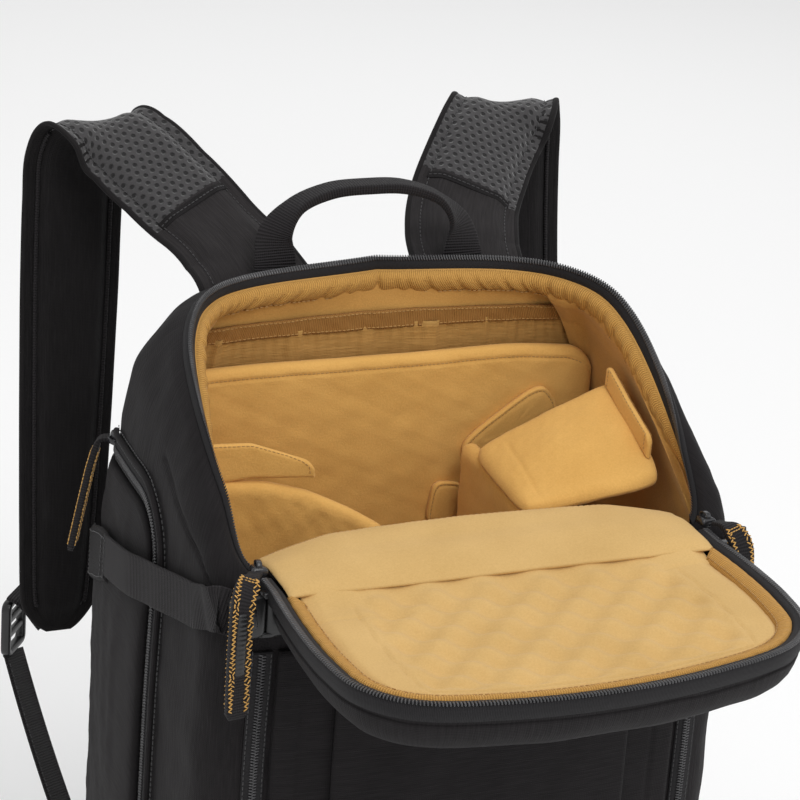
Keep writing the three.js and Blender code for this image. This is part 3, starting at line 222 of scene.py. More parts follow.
def ribbed(name, dark, light, pitch, direction="X", depth=0.0005):
    """Webbing or grosgrain: ribs across, fine yarns along."""
    n = Nodes(name, 0.72, Sheen_Weight=0.03, Sheen_Roughness=0.5)
    n.set(n.shader, Specular_IOR_Level=0.22)
    uv = n.uv()
    ribs = n.wave(uv, pitch, direction, 0.3)
    yarn = n.wave(uv, pitch * 0.6, "Y" if direction == "X" else "X", 0.5)
    fuzz = n.noise(n.place(), 0.0012, 3.0)
    height = n.math("ADD", ribs, n.math("MULTIPLY", yarn, 0.35))
    tone = n.math("ADD", n.math("MULTIPLY", ribs, 0.6), n.math("MULTIPLY", fuzz, 0.4))
    return n.finish(n.mix(tone, dark, light), n.bump(height, depth, 0.8))


def plastic(name, colour, roughness):
    n = Nodes(name, roughness)
    place = n.place()
    grain = n.noise(place, 0.0008, 2.0)
    wear = n.noise(place, 0.02, 3.0)
    lighter = tuple(min(1, c * 1.7 + 0.004) for c in colour)
    return n.finish(n.mix(n.ramp(wear, 0.45, 0.8), colour, lighter), n.bump(grain, 0.00012, 0.35))


def thread(name, dark, light):
    n = Nodes(name, 0.6, Sheen_Weight=0.2)
    fuzz = n.noise(n.place(), 0.0007, 2.0)
    return n.finish(n.mix(fuzz, dark, light), n.bump(fuzz, 0.0002, 0.5))


BLACK = ripstop("ripstop", (0.0052, 0.0044, 0.0048), (0.0185, 0.016, 0.0172))
# yoke: a lighter copy of the black strap cloth for the rising part of the strap, which faces up into the
# light: painted light
YOKE_PAINTED_LIGHT = ripstop("yoke_painted_light", (0.011, 0.0095, 0.0098), (0.033, 0.0295, 0.0305), 0.0008)
PLAIN = ripstop("strap_cloth", (0.0045, 0.0038, 0.004), (0.016, 0.0142, 0.0148), 0.0009)
LINING = tricot("tricot", (0.42, 0.215, 0.052), (0.62, 0.34, 0.096))
# dividers and tabs: a lighter copy of the lining's mustard tricot, for faces that stand up into the light:
# painted light
TRICOT_PAINTED_LIGHT = tricot("tricot_painted_light", (0.6, 0.325, 0.082), (0.76, 0.44, 0.13), 0.0011)
PAD = tricot("pad_tricot", (0.52, 0.325, 0.115), (0.67, 0.44, 0.178), 0.001)
BINDING = ribbed("grosgrain", (0.36, 0.17, 0.034), (0.68, 0.38, 0.1), 0.0013)
HOOK = ribbed("hook_strip", (0.2, 0.088, 0.019), (0.4, 0.2, 0.052), 0.0011, "X", 0.0003)
POCKET = ripstop("pocket_cloth", (0.3, 0.16, 0.042), (0.56, 0.32, 0.1), 0.0009)
WEBBING = ribbed("webbing", (0.0045, 0.0038, 0.0042), (0.0215, 0.0185, 0.02), 0.0016)
TAPE = ribbed("zipper_tape", (0.006, 0.006, 0.0065), (0.022, 0.02, 0.022), 0.0008, "X", 0.0002)
# coil: dark plastic, its colour lifted above the tape's so the teeth show bright specks: partly its own dark
# grey, partly painted highlight
COIL_TONE_AND_HIGHLIGHT = plastic("coil", (0.045, 0.044, 0.046), 0.26)
SHELL = plastic("moulded", (0.0085, 0.0085, 0.009), 0.34)
METAL = plastic("slider", (0.016, 0.016, 0.018), 0.22)
BLACK_THREAD = thread("black_thread", (0.01, 0.01, 0.011), (0.05, 0.048, 0.05))
GOLD_THREAD = thread("gold_thread", (0.42, 0.2, 0.03), (0.72, 0.42, 0.1))
TAN_THREAD = thread("tan_thread", (0.33, 0.17, 0.04), (0.5, 0.28, 0.08))


# Curves and the wall of the bag, as the part has them

def smooth(points, at):
    """Points of the smooth curve through the given ones, at places counted in them."""
    p = np.asarray(points, float)
    p = np.vstack([2 * p[:1] - p[1:2], p, 2 * p[-1:] - p[-2:-1]])
    at = np.clip(np.atleast_1d(np.asarray(at, float)), 0, len(p) - 3)
    i = np.minimum(at.astype(int), len(p) - 4)
    t = (at - i)[:, None]
    a, b, c, d = (p[i + k] for k in range(4))
    gap = [np.sqrt(np.maximum(np.linalg.norm(v - u, axis=1), 1e-6))[:, None]
           for u, v in ((a, b), (b, c), (c, d))]
    m1 = ((b - a) / gap[0] - (c - a) / (gap[0] + gap[1]) + (c - b) / gap[1]) * gap[1]
    m2 = ((c - b) / gap[1] - (d - b) / (gap[1] + gap[2]) + (d - c) / gap[2]) * gap[1]
    cubic = 2 * b - 2 * c + m1 + m2
    square = -3 * b + 3 * c - 2 * m1 - m2
    return b + t * (m1 + t * (square + t * cubic))


def even(points, count):
    """count points spread evenly along the smooth curve through the given ones."""
    dense = smooth(points, np.linspace(0, len(points) - 1, 40 * len(points)))
    along = np.r_[0, np.cumsum(np.linalg.norm(np.diff(dense, axis=0), axis=1))]
    at = np.linspace(0, along[-1], count)
    return np.column_stack([np.interp(at, along, dense[:, k]) for k in range(3)])


HALF_W, HALF_D, HEIGHT, CORNER = 153.0, 96.0, 451.0, 26.0
SIDE0, SIDE1, BACK0, LAST = 9, 16, 20, 24
# column, x, y, z as shares, shoulder, arch
RIM = np.array([
    (0, 0, -0.73, 0.783, 0.71, 0.8),
    (3, 0.5, -0.75, 0.782, 0.71, 0.8),
    (5, 0.83, -0.8, 0.774, 0.705, 0.8),
    (9, 0.875, -0.48, 0.847, 0.73, 0.7),
    (11.5, 0.885, -0.1, 0.912, 0.75, 0.68),
    (14, 0.86, 0.24, 0.958, 0.765, 0.68),
    (16, 0.81, 0.44, 0.98, 0.78, 0.68),
    (18, 0.72, 0.65, 0.989, 0.79, 0.7),
    (20, 0.575, 0.81, 0.993, 0.84, 0.8),
    (24, 0, 0.92, 1, 0.94, 0.9),
])
# height, width, depth as shares, bow
RINGS = ((0, 0.94, 0.91, 0), (0.028, 0.985, 0.98, 1), (0.3, 1, 1, 4), (0.55, 1, 1, 4), (0.78, 1, 0.99, 3),
         (1, 0.99, 0.98, 2))
RIM_POINTS = RIM[:, 1:4] * (HALF_W, HALF_D, HEIGHT)


def rim_point(column):
    return smooth(RIM_POINTS, np.interp(column, RIM[:, 0], np.arange(len(RIM))))[0]


def ring_point(column, width, depth, bow):
    w, d = HALF_W * width, HALF_D * depth
    straight = w - CORNER
    if column <= 5:
        share = column / 5
        return share * straight, -d - bow * (1 - share * share)
    if column <= SIDE0:
        turn = (column - 5) / 4 * math.pi / 2
        return straight + CORNER * math.sin(turn), -d + CORNER * (1 - math.cos(turn))
    if column <= SIDE1:
        share = (column - SIDE0) / 7
        y = -d + CORNER + share * 2 * (d - CORNER)
        return w + bow * (1 - (2 * share - 1) ** 2), y
    if column <= BACK0:
        turn = (column - SIDE1) / 4 * math.pi / 2
        return straight + CORNER * math.cos(turn), d - CORNER * (1 - math.sin(turn))
    return straight * (1 - (column - BACK0) / 4), d


def wall_column(column):
    shoulder = np.interp(column, RIM[:, 0], RIM[:, 4]) * HEIGHT
    arch = np.interp(column, RIM[:, 0], RIM[:, 5])
    points = [(*ring_point(column, *ring[1:]), ring[0] * shoulder) for ring in RINGS]
    start, end = np.array(points[-1]), rim_point(column)
    control = np.array([start[0], start[1], start[2] + arch * (end[2] - start[2])])
    for t in (0.3, 0.58, 0.82, 1):
        points.append((1 - t) ** 2 * start + 2 * t * (1 - t) * control + t * t * end)
    return np.array(points)


COLS = np.linspace(0, LAST, 193)
ROWS = np.linspace(0, 9, 91)
half = np.array([smooth(wall_column(c), ROWS) for c in COLS])
WALL = np.concatenate([half[:0:-1] * (-1, 1, 1), half])
COLS = np.linspace(-LAST, LAST, len(WALL))
across = np.roll(WALL[:-1], -1, 0) - np.roll(WALL[:-1], 1, 0)
across = np.vstack([across, across[:1]])
NORMAL = np.cross(across, np.gradient(WALL, axis=1))
NORMAL /= np.maximum(np.linalg.norm(NORMAL, axis=2, keepdims=True), 1e-9)


def table(values, column, row):
    """A table of the wall read between its entries, at any columns and rows."""
    column = (np.asarray(column, float) + LAST) % (2 * LAST)
    c = column * (len(COLS) - 1) / (2 * LAST)
    r = np.clip(np.asarray(row, float), 0, 9) * 10
    c, r = np.broadcast_arrays(c, r)
    i = np.minimum(c.astype(int), len(COLS) - 2)
    j = np.minimum(r.astype(int), len(ROWS) - 2)
    s, t = (c - i)[..., None], (r - j)[..., None]
    low = values[i, j] * (1 - s) + values[i + 1, j] * s
    high = values[i, j + 1] * (1 - s) + values[i + 1, j + 1] * s
    return low * (1 - t) + high * t


def wall(column, row, out=0.0):
    out = np.asarray(out, float)
    return table(WALL, column, row) + table(NORMAL, column, row) * out[..., None]


def row_at(column, height):
    """The rows at which columns of the wall reach heights."""
    column, height = np.broadcast_arrays(np.asarray(column, float), np.asarray(height, float))
    rows = np.linspace(0, 9, 181)
    flat = [np.interp(h, table(WALL, np.full(181, c), rows)[:, 2], rows)
            for c, h in zip(column.ravel(), height.ravel())]
    return np.array(flat).reshape(column.shape)


def front_col(x):
    return 5 * np.asarray(x, float) / (HALF_W - CORNER)


def side_col(y):
    return SIDE0 + 7 * (np.asarray(y, float) + HALF_D - CORNER) / (2 * HALF_D - 2 * CORNER)


def back_col(x):
    return BACK0 + 4 * (1 - np.asarray(x, float) / (HALF_W - CORNER))


# Meshes

def lump(points, size, seed=0.0):
    """Smooth pseudo-random heights from -1 to 1 at points, from a sum of a few waves."""
    p = np.asarray(points, float) / size
    total = np.zeros(p.shape[:-1])
    turn = np.random.default_rng(int(seed * 100) + 11)
    for octave in range(7):
        way = turn.normal(size=3)
        way *= (1 + 0.45 * octave) / np.linalg.norm(way)
        total += np.sin(2 * math.pi * (p @ way) + turn.uniform(0, 6.3)) / (1 + 0.3 * octave)
    return total / 3.2


def make(name, points, faces, material, uv=None, shade=True):
    mesh = bpy.data.meshes.new(name)
    mesh.from_pydata((np.asarray(points, float) * MM).tolist(), [], faces)
    mesh.update()
    if uv is not None:
        layer = mesh.uv_layers.new(name="UVMap")
        loops = np.empty(len(mesh.loops), int)
        mesh.loops.foreach_get("vertex_index", loops)
        layer.data.foreach_set("uv", (np.asarray(uv, float) * MM)[loops].ravel())
    if shade:
        mesh.shade_smooth()
    mesh.materials.append(material)
    piece = bpy.data.objects.new(name, mesh)
    scene.collection.objects.link(piece)
    return piece


def quads(rows, columns, wrap=False):
    """Faces of a grid of rows by columns of points, closed across its columns if it wraps."""
    i = np.arange(rows - 1)[:, None] * columns
    j = np.arange(columns if wrap else columns - 1)[None, :]
    k = (j + 1) % columns
    return np.stack([i + j, i + k, i + columns + k, i + columns + j], -1).reshape(-1, 4)


def measures(grid):
    """Lengths along a grid's columns and rows, for a texture that keeps its real scale."""
    across = np.linalg.norm(np.diff(grid, axis=1), axis=2).mean(0)
    up = np.linalg.norm(np.diff(grid, axis=0), axis=2).mean(1)
    u, v = np.r_[0, np.cumsum(across)], np.r_[0, np.cumsum(up)]
    return np.stack(np.meshgrid(u, v), -1).reshape(-1, 2)


def outward(points, faces):
    """The faces, turned round where the closed solid that they bound is inside out."""
    p = np.asarray(points, float)
    a, b, c = (p[faces[:, k]] for k in (0, 1, 2))
    d = p[faces[:, 3]]
    volume = np.einsum("ij,ij->i", a, np.cross(b, c)).sum() + np.einsum("ij,ij->i", a, np.cross(c, d)).sum()
    return faces if volume > 0 else faces[:, ::-1]


def slab(name, low, high, material):
    """A closed layer between two grids of points."""
    low, high = np.asarray(low), np.asarray(high)
    rows, columns = low.shape[:2]
    count = rows * columns
    grid = quads(rows, columns)
    edge = np.concatenate([
        np.arange(columns),
        np.arange(1, rows) * columns + columns - 1,
        (rows - 1) * columns + np.arange(columns - 2, -1, -1),
        np.arange(rows - 2, 0, -1) * columns,
    ])
    after = np.roll(edge, -1)
    side = np.stack([edge, after, after + count, edge + count], -1)
    faces = np.concatenate([grid[:, ::-1], grid + count, side])
    points = np.concatenate([low.reshape(-1, 3), high.reshape(-1, 3)])
    uv = measures(high)
    return make(name, points, outward(points, faces).tolist(), material, np.concatenate([uv, uv]))


def tube(name, rings, material, closed=False, caps=True):
    """A skin over rings of points, closed on itself or with capped ends."""
    rings = np.asarray(rings)
    if closed:
        rings = np.concatenate([rings, rings[:1]])
    rows, columns = rings.shape[:2]
    grid = np.concatenate([rings, rings[:, :1]], axis=1)
    faces = quads(rows, columns + 1)
    points = grid.reshape(-1, 3)
    listed = outward(points, faces)
    turned = listed is not faces
    listed = listed.tolist()
    if caps and not closed:
        first = list(range(columns))
        last = [(rows - 1) * (columns + 1) + i for i in range(columns)]
        listed += [first if turned else first[::-1], last[::-1] if turned else last]
    piece = make(name, points, listed, material, measures(grid)[:, ::-1])
    weld(piece)
    return piece


def weld(piece):
    """Joins points that lie on each other."""
    work = bmesh.new()
    work.from_mesh(piece.data)
    bmesh.ops.remove_doubles(work, verts=work.verts, dist=1e-6)
    bmesh.ops.dissolve_degenerate(work, edges=work.edges, dist=1e-7)
    work.to_mesh(piece.data)
    work.free()


def sides_of(points, across):
    """Directions along, across and up at each point of a path."""
    along = np.gradient(points, axis=0)
    along /= np.linalg.norm(along, axis=1, keepdims=True)
    across = np.broadcast_to(np.asarray(across, float), points.shape).copy()
    across -= (across * along).sum(1, keepdims=True) * along
    across /= np.linalg.norm(across, axis=1, keepdims=True)
    return along, across, np.cross(across, along)


def section(kind, count=16):
    """Corners of a closed section within half a unit of its middle."""
    turn = np.linspace(0, 2 * math.pi, count, endpoint=False)
    c, s = np.cos(turn), np.sin(turn)
    power = {"round": 1.0, "pad": 0.62, "strap": 0.3}[kind]
    return 0.5 * np.column_stack([np.sign(c) * abs(c) ** power, np.sign(s) * abs(s) ** power])


def sweep(name, points, across, width, thickness, material, kind="strap", count=16, closed=False):
    points = np.asarray(points, float)
    _, across, up = sides_of(points, across)
    shape = section(kind, count)
    width = np.broadcast_to(np.asarray(width, float), len(points))[:, None, None]
    thickness = np.broadcast_to(np.asarray(thickness, float), len(points))[:, None, None]
    rings = (points[:, None] + shape[None, :, :1] * across[:, None] * width
             + shape[None, :, 1:] * up[:, None] * thickness)
    return tube(name, rings, material, closed)


def scatter(name, solid, faces, places, material):
    """Copies of a small solid at places, each a middle and three directions."""
    solid = np.asarray(solid, float)
    faces = np.asarray(faces)
    all_points = []
    for middle, x, y, z in places:
        all_points.append(middle + solid[:, :1] * x + solid[:, 1:2] * y + solid[:, 2:] * z)
    count = len(solid)
    listed = (faces[None] + np.arange(len(places))[:, None, None] * count).reshape(-1, faces.shape[1])
    return make(name, np.concatenate(all_points), listed.tolist(), material)


def stitches(name, points, up, pitch, material, radius=0.32, fill=0.72, lift=0.05):
    """A row of thread stitches along a path."""
    points = np.asarray(points, float)
    up = np.broadcast_to(np.asarray(up, float), points.shape)
    step = np.linalg.norm(np.diff(points, axis=0), axis=1)
    along = np.r_[0, np.cumsum(step)]
    at = np.arange(pitch / 2, along[-1], pitch)
    middle = np.column_stack([np.interp(at, along, points[:, k]) for k in range(3)])
    ahead = np.column_stack([np.interp(at + 0.3, along, points[:, k]) for k in range(3)])
    behind = np.column_stack([np.interp(at - 0.3, along, points[:, k]) for k in range(3)])
    above = np.column_stack([np.interp(at, along, up[:, k]) for k in range(3)])
    x = ahead - behind
    x /= np.maximum(np.linalg.norm(x, axis=1, keepdims=True), 1e-9)
    y = np.cross(above, x)
    y /= np.maximum(np.linalg.norm(y, axis=1, keepdims=True), 1e-9)
    z = np.cross(x, y)
    solid, faces = ROD
    scale = np.array([pitch * fill, radius * 2, radius * 2])
    places = [(m + zz * lift, xx * scale[0], yy * scale[1], zz * scale[2])
              for m, xx, yy, zz in zip(middle, x, y, z)]
    return scatter(name, solid, faces, places, material)


def box_rod():
    """A stitch or tooth of unit length and thickness along x, with rounded ends."""
    points, faces = [], []
    sides = 6
    for x, r in ((-0.5, 0.5), (-0.32, 1), (0.32, 1), (0.5, 0.5)):
        for k in range(sides):
            turn = 2 * math.pi * k / sides
            points.append((x, 0.5 * r * math.cos(turn), 0.5 * r * math.sin(turn)))
    for ring in range(3):
        for k in range(sides):
            a, b = ring * sides + k, ring * sides + (k + 1) % sides
            faces.append((a, b, b + sides, a + sides))
    for base, way in ((0, -1), (3 * sides, 1)):
        for quad in ((0, 1, 2, 3), (0, 3, 4, 5)):
            faces.append([base + k for k in quad][::way])
    return points, faces


ROD = box_rod()


def teeth(name, points, across, up, width, pitch, height, both=False):
    """A zipper's coil along a path: one row of teeth, or two that mesh."""
    points = np.asarray(points, float)
    across = np.broadcast_to(np.asarray(across, float), points.shape)
    up = np.broadcast_to(np.asarray(up, float), points.shape)
    along = np.r_[0, np.cumsum(np.linalg.norm(np.diff(points, axis=0), axis=1))]
    at = np.arange(pitch / 2, along[-1], pitch)

    def read(values, shift=0.0):
        return np.column_stack([np.interp(at + shift, along, values[:, k]) for k in range(3)])

    places = []
    for side in ((-1, 1) if both else (0,)):
        shift = side * pitch / 4
        middle, ahead = read(points, shift), read(points, shift + 0.2) - read(points, shift - 0.2)
        x, z = read(across, shift), read(up, shift)
        for m, a, c, u in zip(middle, ahead, x, z):
            a = a / max(np.linalg.norm(a), 1e-9)
            slant = c + a * 0.12 * (side or 1)
            m = m + c * side * width * 0.32
            places.append((m, slant * width, a * pitch * 0.62, u * height))
    return scatter(name, ROD[0], ROD[1], places, COIL_TONE_AND_HIGHLIGHT)


def keep(piece, slot, *nodes):
    """Rides the piece on the bag and hides the CAD nodes that it stands for. Its slot is not used."""
    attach(piece, "root")
    if nodes:
        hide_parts(*nodes)
    return piece


def mirror(p):
    return np.asarray(p, float) * (-1, 1, 1)


SIDES = (("left", -1), ("right", 1))


# Floor

floor = make("floor", [(-9e3, -9e3, -1), (9e3, -9e3, -1), (9e3, 9e3, -1), (-9e3, 9e3, -1)],
             [(0, 1, 2, 3)], Nodes("floor", 0.9, (0.97, 0.97, 0.97)).material)


# Bag: outer skin

def groove(distance, width):
    """0 away from a seam, 1 on it."""
    return np.exp(-(np.asarray(distance) / width) ** 2)


def body_grid(columns, rows):
    c, r = np.meshgrid(columns, rows)
    points = wall(c, r)
    calm = np.clip(np.minimum(r - 0.5, 9 - r) / 1.2, 0, 1)
    high = np.clip((r - 4.5) / 1.5, 0, 1)
    out = 1.1 * calm * lump(points, 90, 1) + 0.5 * calm * lump(points, 38, 2)
    side = np.abs(c)
    # a seam crosses each shoulder from the side zipper to the opening
    slope = row_at(c, 352 + 9 * (side - SIDE0)) - r
    over = (side > 7) & (side < 12.5)
    out = out - 1.6 * groove(slope, 0.09) * over * high
    # padding swells between the shoulder and the opening's edge
    swell = np.clip((r - 5.2) / 1.6, 0, 1) * np.clip((8.95 - r) / 0.9, 0, 1)
    out = out + 1.2 * swell
    return wall(c, r, out)


body_columns = np.linspace(-LAST, LAST, 289)[:-1]
outer = body_grid(body_columns, np.r_[0, 0.5, np.linspace(1, 4, 25), np.linspace(4.1, 9, 50)])
inner_rows = np.array([9, 8.5, 8, 7, 6, 5, 4, 3, 2, 1.1])
c, r = np.meshgrid(body_columns, inner_rows)
inner = wall(c, r, np.full(c.shape, -4.0))
rings = np.concatenate([outer[:1] * (0.02, 0.02, 1), outer, inner,
                        inner[-1:] * (0.96, 0.96, 0) + (0, 0, 5), inner[-1:] * (0.02, 0.02, 0) + (0, 0, 5)])
body = tube("bag_skin", rings, BLACK)
keep(body, "fabric", "body_shell")


# Compartment's lining

def lining_grid(columns, rows, depth):
    c, r = np.meshgrid(columns, rows)
    points = wall(c, r, np.full(c.shape, -depth))
    calm = np.clip((9 - r) / 0.8, 0, 1)
    puff = 0.9 * calm * lump(points, 70, 4)
    # corner seams inside
    for seam in (7, 18):
        puff = puff + 1.5 * groove(np.abs(np.abs(c) - seam), 0.09) * calm
    return wall(c, r, -depth - 0.4 + np.clip(puff, -0.9, 1.4))


floor_row = row_at(body_columns, 200)
low_row = float(floor_row.max())
lining_rows = np.linspace(low_row, 9, 60)
inside = lining_grid(body_columns, lining_rows, 12.0)
outside = wall(*np.meshgrid(body_columns, np.linspace(low_row, 9, 12)),
               np.full((12, len(body_columns)), -4.9))
base = inside[0] * (1, 1, 0) + (0, 0, 200)
under = outside[0] * (1, 1, 0) + (0, 0, 193)
hub = (0.02, 0.02, 1)
rings = np.concatenate([[base * hub], [base], inside, outside[::-1], [under], [under * hub]])
lining = tube("lining_tub", rings, LINING)
keep(lining, "lining", "lining")


# Opening's edge: black tape, its coil, and the ribbed binding inside

def rim_path(count=420, first=5.0):
    """Columns round the opening from one end of the hinge to the other."""
    return np.linspace(first, 2 * LAST - first, count)


def rim_frame(columns):
    edge = wall(columns, np.full(len(columns), 9.0))
    below = wall(columns, np.full(len(columns), 8.9))
    out = table(NORMAL, columns, np.full(len(columns), 9.0))
    up = edge - below
    up -= (up * out).sum(1, keepdims=True) * out
    up /= np.linalg.norm(up, axis=1, keepdims=True)
    return edge, out, up


rim_columns = rim_path(900)
edge, out, up = rim_frame(rim_columns)
rim_along = np.r_[0, np.cumsum(np.linalg.norm(np.diff(edge, axis=0), axis=1))]
# inward and up from the wall's edge
profile = [(-1.1, -2.5), (-1.7, 0.4), (-1.4, 2.2), (-0.6, 3.0), (1.0, 3.0), (2.7, 2.5), (4.3, 1.4),
           (5.6, -0.2),
           (6.0, -2.4), (5.2, -2.8), (4.2, -0.4), (2.8, 1.0), (0.8, 1.6), (-0.3, 1.0), (-0.5, -2.5)]
rings = np.stack([edge - out * inward + up * rise for inward, rise in profile], 1)
tape = tube("opening_tape", rings, TAPE)
keep(tape, "zipper", "opening_zipper")
coil = teeth("opening_coil", edge + out * 0.3 + up * 3.4, out, up, 3.4, 1.55, 1.7)
keep(coil, "zipper")


def gathers(along, seed):
    """A drawn-up tape's waves along its length, from -1 to 1."""
    wave = (0.45 * np.sin(along * 2 * math.pi / 9.7 + seed)
            + 0.35 * np.sin(along * 2 * math.pi / 15.3 + 2 * seed))
    return wave + 0.2 * np.sin(along * 2 * math.pi / 5.9 + 3 * seed)


# gathered binding: inward, up, and how far it takes part in the waves
pucker = gathers(rim_along, 1.0)[:, None]
path = [(5.6, -2.6, 0), (6.0, -0.2, 0.2), (7.4, 1.2, 0.5), (9.6, 1.7, 0.8), (11.8, 1.0, 1.0),
        (13.6, -0.8, 1.2),
        (15.0, -3.8, 1.4), (15.7, -7.6, 1.4), (15.6, -11.4, 1.5), (14.6, -11.6, 1.4), (14.2, -7.4, 1.0),
        (13.2, -3.6, 0.8), (11.0, -1.2, 0.5), (8.2, -1.4, 0.2)]
rings = np.stack([edge - out * (i + 0.55 * w * pucker) + up * (h + 0.65 * w * pucker)
                  for i, h, w in path], 1)
binding = tube("opening_grosgrain", rings, BINDING)
keep(binding, "binding", "opening_binding")
seam = edge - out * (15.9 + 0.75 * pucker) + up * (-9.6 + 0.9 * pucker)
keep(stitches("opening_stitches", seam, -out, 3.0, TAN_THREAD, 0.3), "binding")


# Lid: a moulded tray with its zipper half, ribbed binding and foam pad

REAR, HINGE_Z = -109.0, 350.0
LID = np.array([(125.4, -109, 350), (128, -145.6, 350), (127.4, -180.8, 350), (121.6, -209.6, 350),
                (102.4, -230.4, 350), (57.6, -243.2, 350), (0, -248, 350)])
LID = np.concatenate([LID, mirror(LID[-2::-1])])


def lid_frame(share):
    """Points of the lid's outline, from its right rear corner round to the left, and inward."""
    at = np.atleast_1d(np.asarray(share, float)) * 12
    point = smooth(LID, at)
    along = smooth(LID, np.clip(at + 0.02, 0, 12)) - smooth(LID, np.clip(at - 0.02, 0, 12))
    inward = np.column_stack([-along[:, 1], along[:, 0], 0 * at])
    inward /= np.linalg.norm(inward, axis=1, keepdims=True)
    inward *= np.sign((inward * (np.array([0, -168, 350]) - point)).sum(1, keepdims=True))
    return point, inward


def skewed(point, inset=0.0):
    point[:, 1] = np.minimum(point[:, 1], REAR - np.maximum(inset, -0.4))
    point[:, 1] += 0.045 * point[:, 0] * (REAR - point[:, 1]) / 160
    return point


def lid_point(share, inset=0.0, drop=0.0):
    point, inward = lid_frame(share)
    inset = np.asarray(inset, float)
    point = skewed(point + inward * (inset[:, None] if inset.ndim else inset), inset)
    point[:, 2] -= drop
    return point


def lid_ring(inset, drop, count=190, rear=40):
    ring = lid_point(np.linspace(0, 1, count), inset, drop)
    t = np.linspace(0, 1, rear + 2)[1:-1, None]
    return np.concatenate([ring, ring[-1] * (1 - t) + ring[0] * t])


lid_profile = [(58, 30), (30, 30.2), (20, 30), (14, 28.6), (9, 26.2), (5, 22.5), (2, 18), (0.4, 14),
               (-0.4, 11),
               (-0.6, 9.6), (0.3, 9), (-0.5, 8.3), (-0.6, 6), (-0.2, 3), (0.2, 1), (1.2, 0), (2.4, 0),
               (3, 1.5),
               (3.2, 6), (4, 14), (8, 22), (18, 27), (58, 27)]
rings = []
for inset, drop in lid_profile:
    ring = lid_ring(inset, drop)
    if 2 < drop < 27 and inset < 12:
        ring += 0.45 * lump(ring, 55, 5)[:, None] * (0.4, 1, 0.5)
    rings.append(ring)
middle = np.array([0, -172, 0.0])
first, last = rings[0], rings[-1]
rings = [middle + (first - middle) * (0.03, 0.03, 1)] + rings + [middle + (last - middle) * (0.03, 0.03, 1)]
keep(tube("lid_cover", rings, BLACK), "fabric", "lid_shell")

# along the lid's edge, from one end of the hinge to the other
shares = np.linspace(0.004, 0.996, 340)
edge, inward = lid_frame(shares)
tail = np.linspace(-93, REAR - 1, 8)
first, last = lid_point([0.0])[0], lid_point([1.0])[0]
lid_edge = np.concatenate([
    [(first[0], y, HINGE_Z) for y in tail],
    skewed(edge.copy()),
    [(last[0], y, HINGE_Z) for y in tail[::-1]],
])
lid_inward = np.concatenate([np.tile((-1.0, 0, 0), (8, 1)), inward, np.tile((1.0, 0, 0), (8, 1))])
for _ in range(6):
    lid_inward[1:-1] = (lid_inward[:-2] + 2 * lid_inward[1:-1] + lid_inward[2:]) / 4
lid_inward /= np.linalg.norm(lid_inward, axis=1, keepdims=True)
UP = np.array([0, 0, 1.0])
profile = [(-0.4, -6.5), (-1.5, -6.6), (-2.0, -3), (-2.1, 0), (-1.6, 1.8), (-0.4, 2.8), (1.5, 2.9),
           (3.4, 2.3), (4.8, 0.6),
           (4.9, -1.6), (3.6, -1.8), (3.2, 0.4), (1.2, 1.3), (-0.6, 0.9), (-0.8, -2.0)]
rings = np.stack([lid_edge + lid_inward * i + UP * h for i, h in profile], 1)
keep(tube("lid_tape", rings, TAPE), "zipper", "lid_zipper")
keep(teeth("lid_coil", lid_edge - lid_inward * 0.9 + UP * 2.9, lid_inward, UP, 3.6, 1.75, 1.9), "zipper")

# gathered binding inside the zipper: inward and up
pucker = 0.35 * np.sin(shares * 310) + 0.3 * np.sin(shares * 173 + 1)
profile = [(4.7, -1.5), (4.9, 1.4), (6.2, 2.6), (8.6, 2.2), (11.5, 0.6), (13.5, -1.8), (13.0, -3.2),
           (9, -1.6), (6, -0.6)]
rings = np.stack([skewed(edge + inward * (i + 0.3 * pucker[:, None]), np.full(len(edge), float(i)))
                  + UP * (h + 0.4 * pucker[:, None])
                  for i, h in profile], 1)
keep(tube("lid_grosgrain", rings, BINDING), "binding", "lid_binding")
seam = skewed(edge + inward * 12.4, np.full(len(edge), 12.4)) + UP * 0.2
keep(stitches("lid_stitches", seam, UP, 3.0, TAN_THREAD, 0.28), "binding")


def lid_patch(u, v, inset):
    """Points over the lid from right to left (u) and from rear to front (v)."""
    corner = 0.3
    right, left = lid_point(corner * v.ravel(), inset), lid_point(1 - corner * v.ravel(), inset)
    front = lid_point(corner + (1 - 2 * corner) * u.ravel(), inset)
    r0, l0 = lid_point([0.0], inset), lid_point([1.0], inset)
    r1, l1 = lid_point([corner], inset), lid_point([1 - corner], inset)
    u, v = u.ravel()[:, None], v.ravel()[:, None]
    rear = r0 * (1 - u) + l0 * u
    point = rear * (1 - v) + front * v + right * (1 - u) + left * u
    return point - (1 - u) * ((1 - v) * r0 + v * r1) - u * ((1 - v) * l0 + v * l1)


def ease(value, low, high):
    t = np.clip((np.asarray(value, float) - low) / (high - low), 0, 1)
    return t * t * (3 - 2 * t)


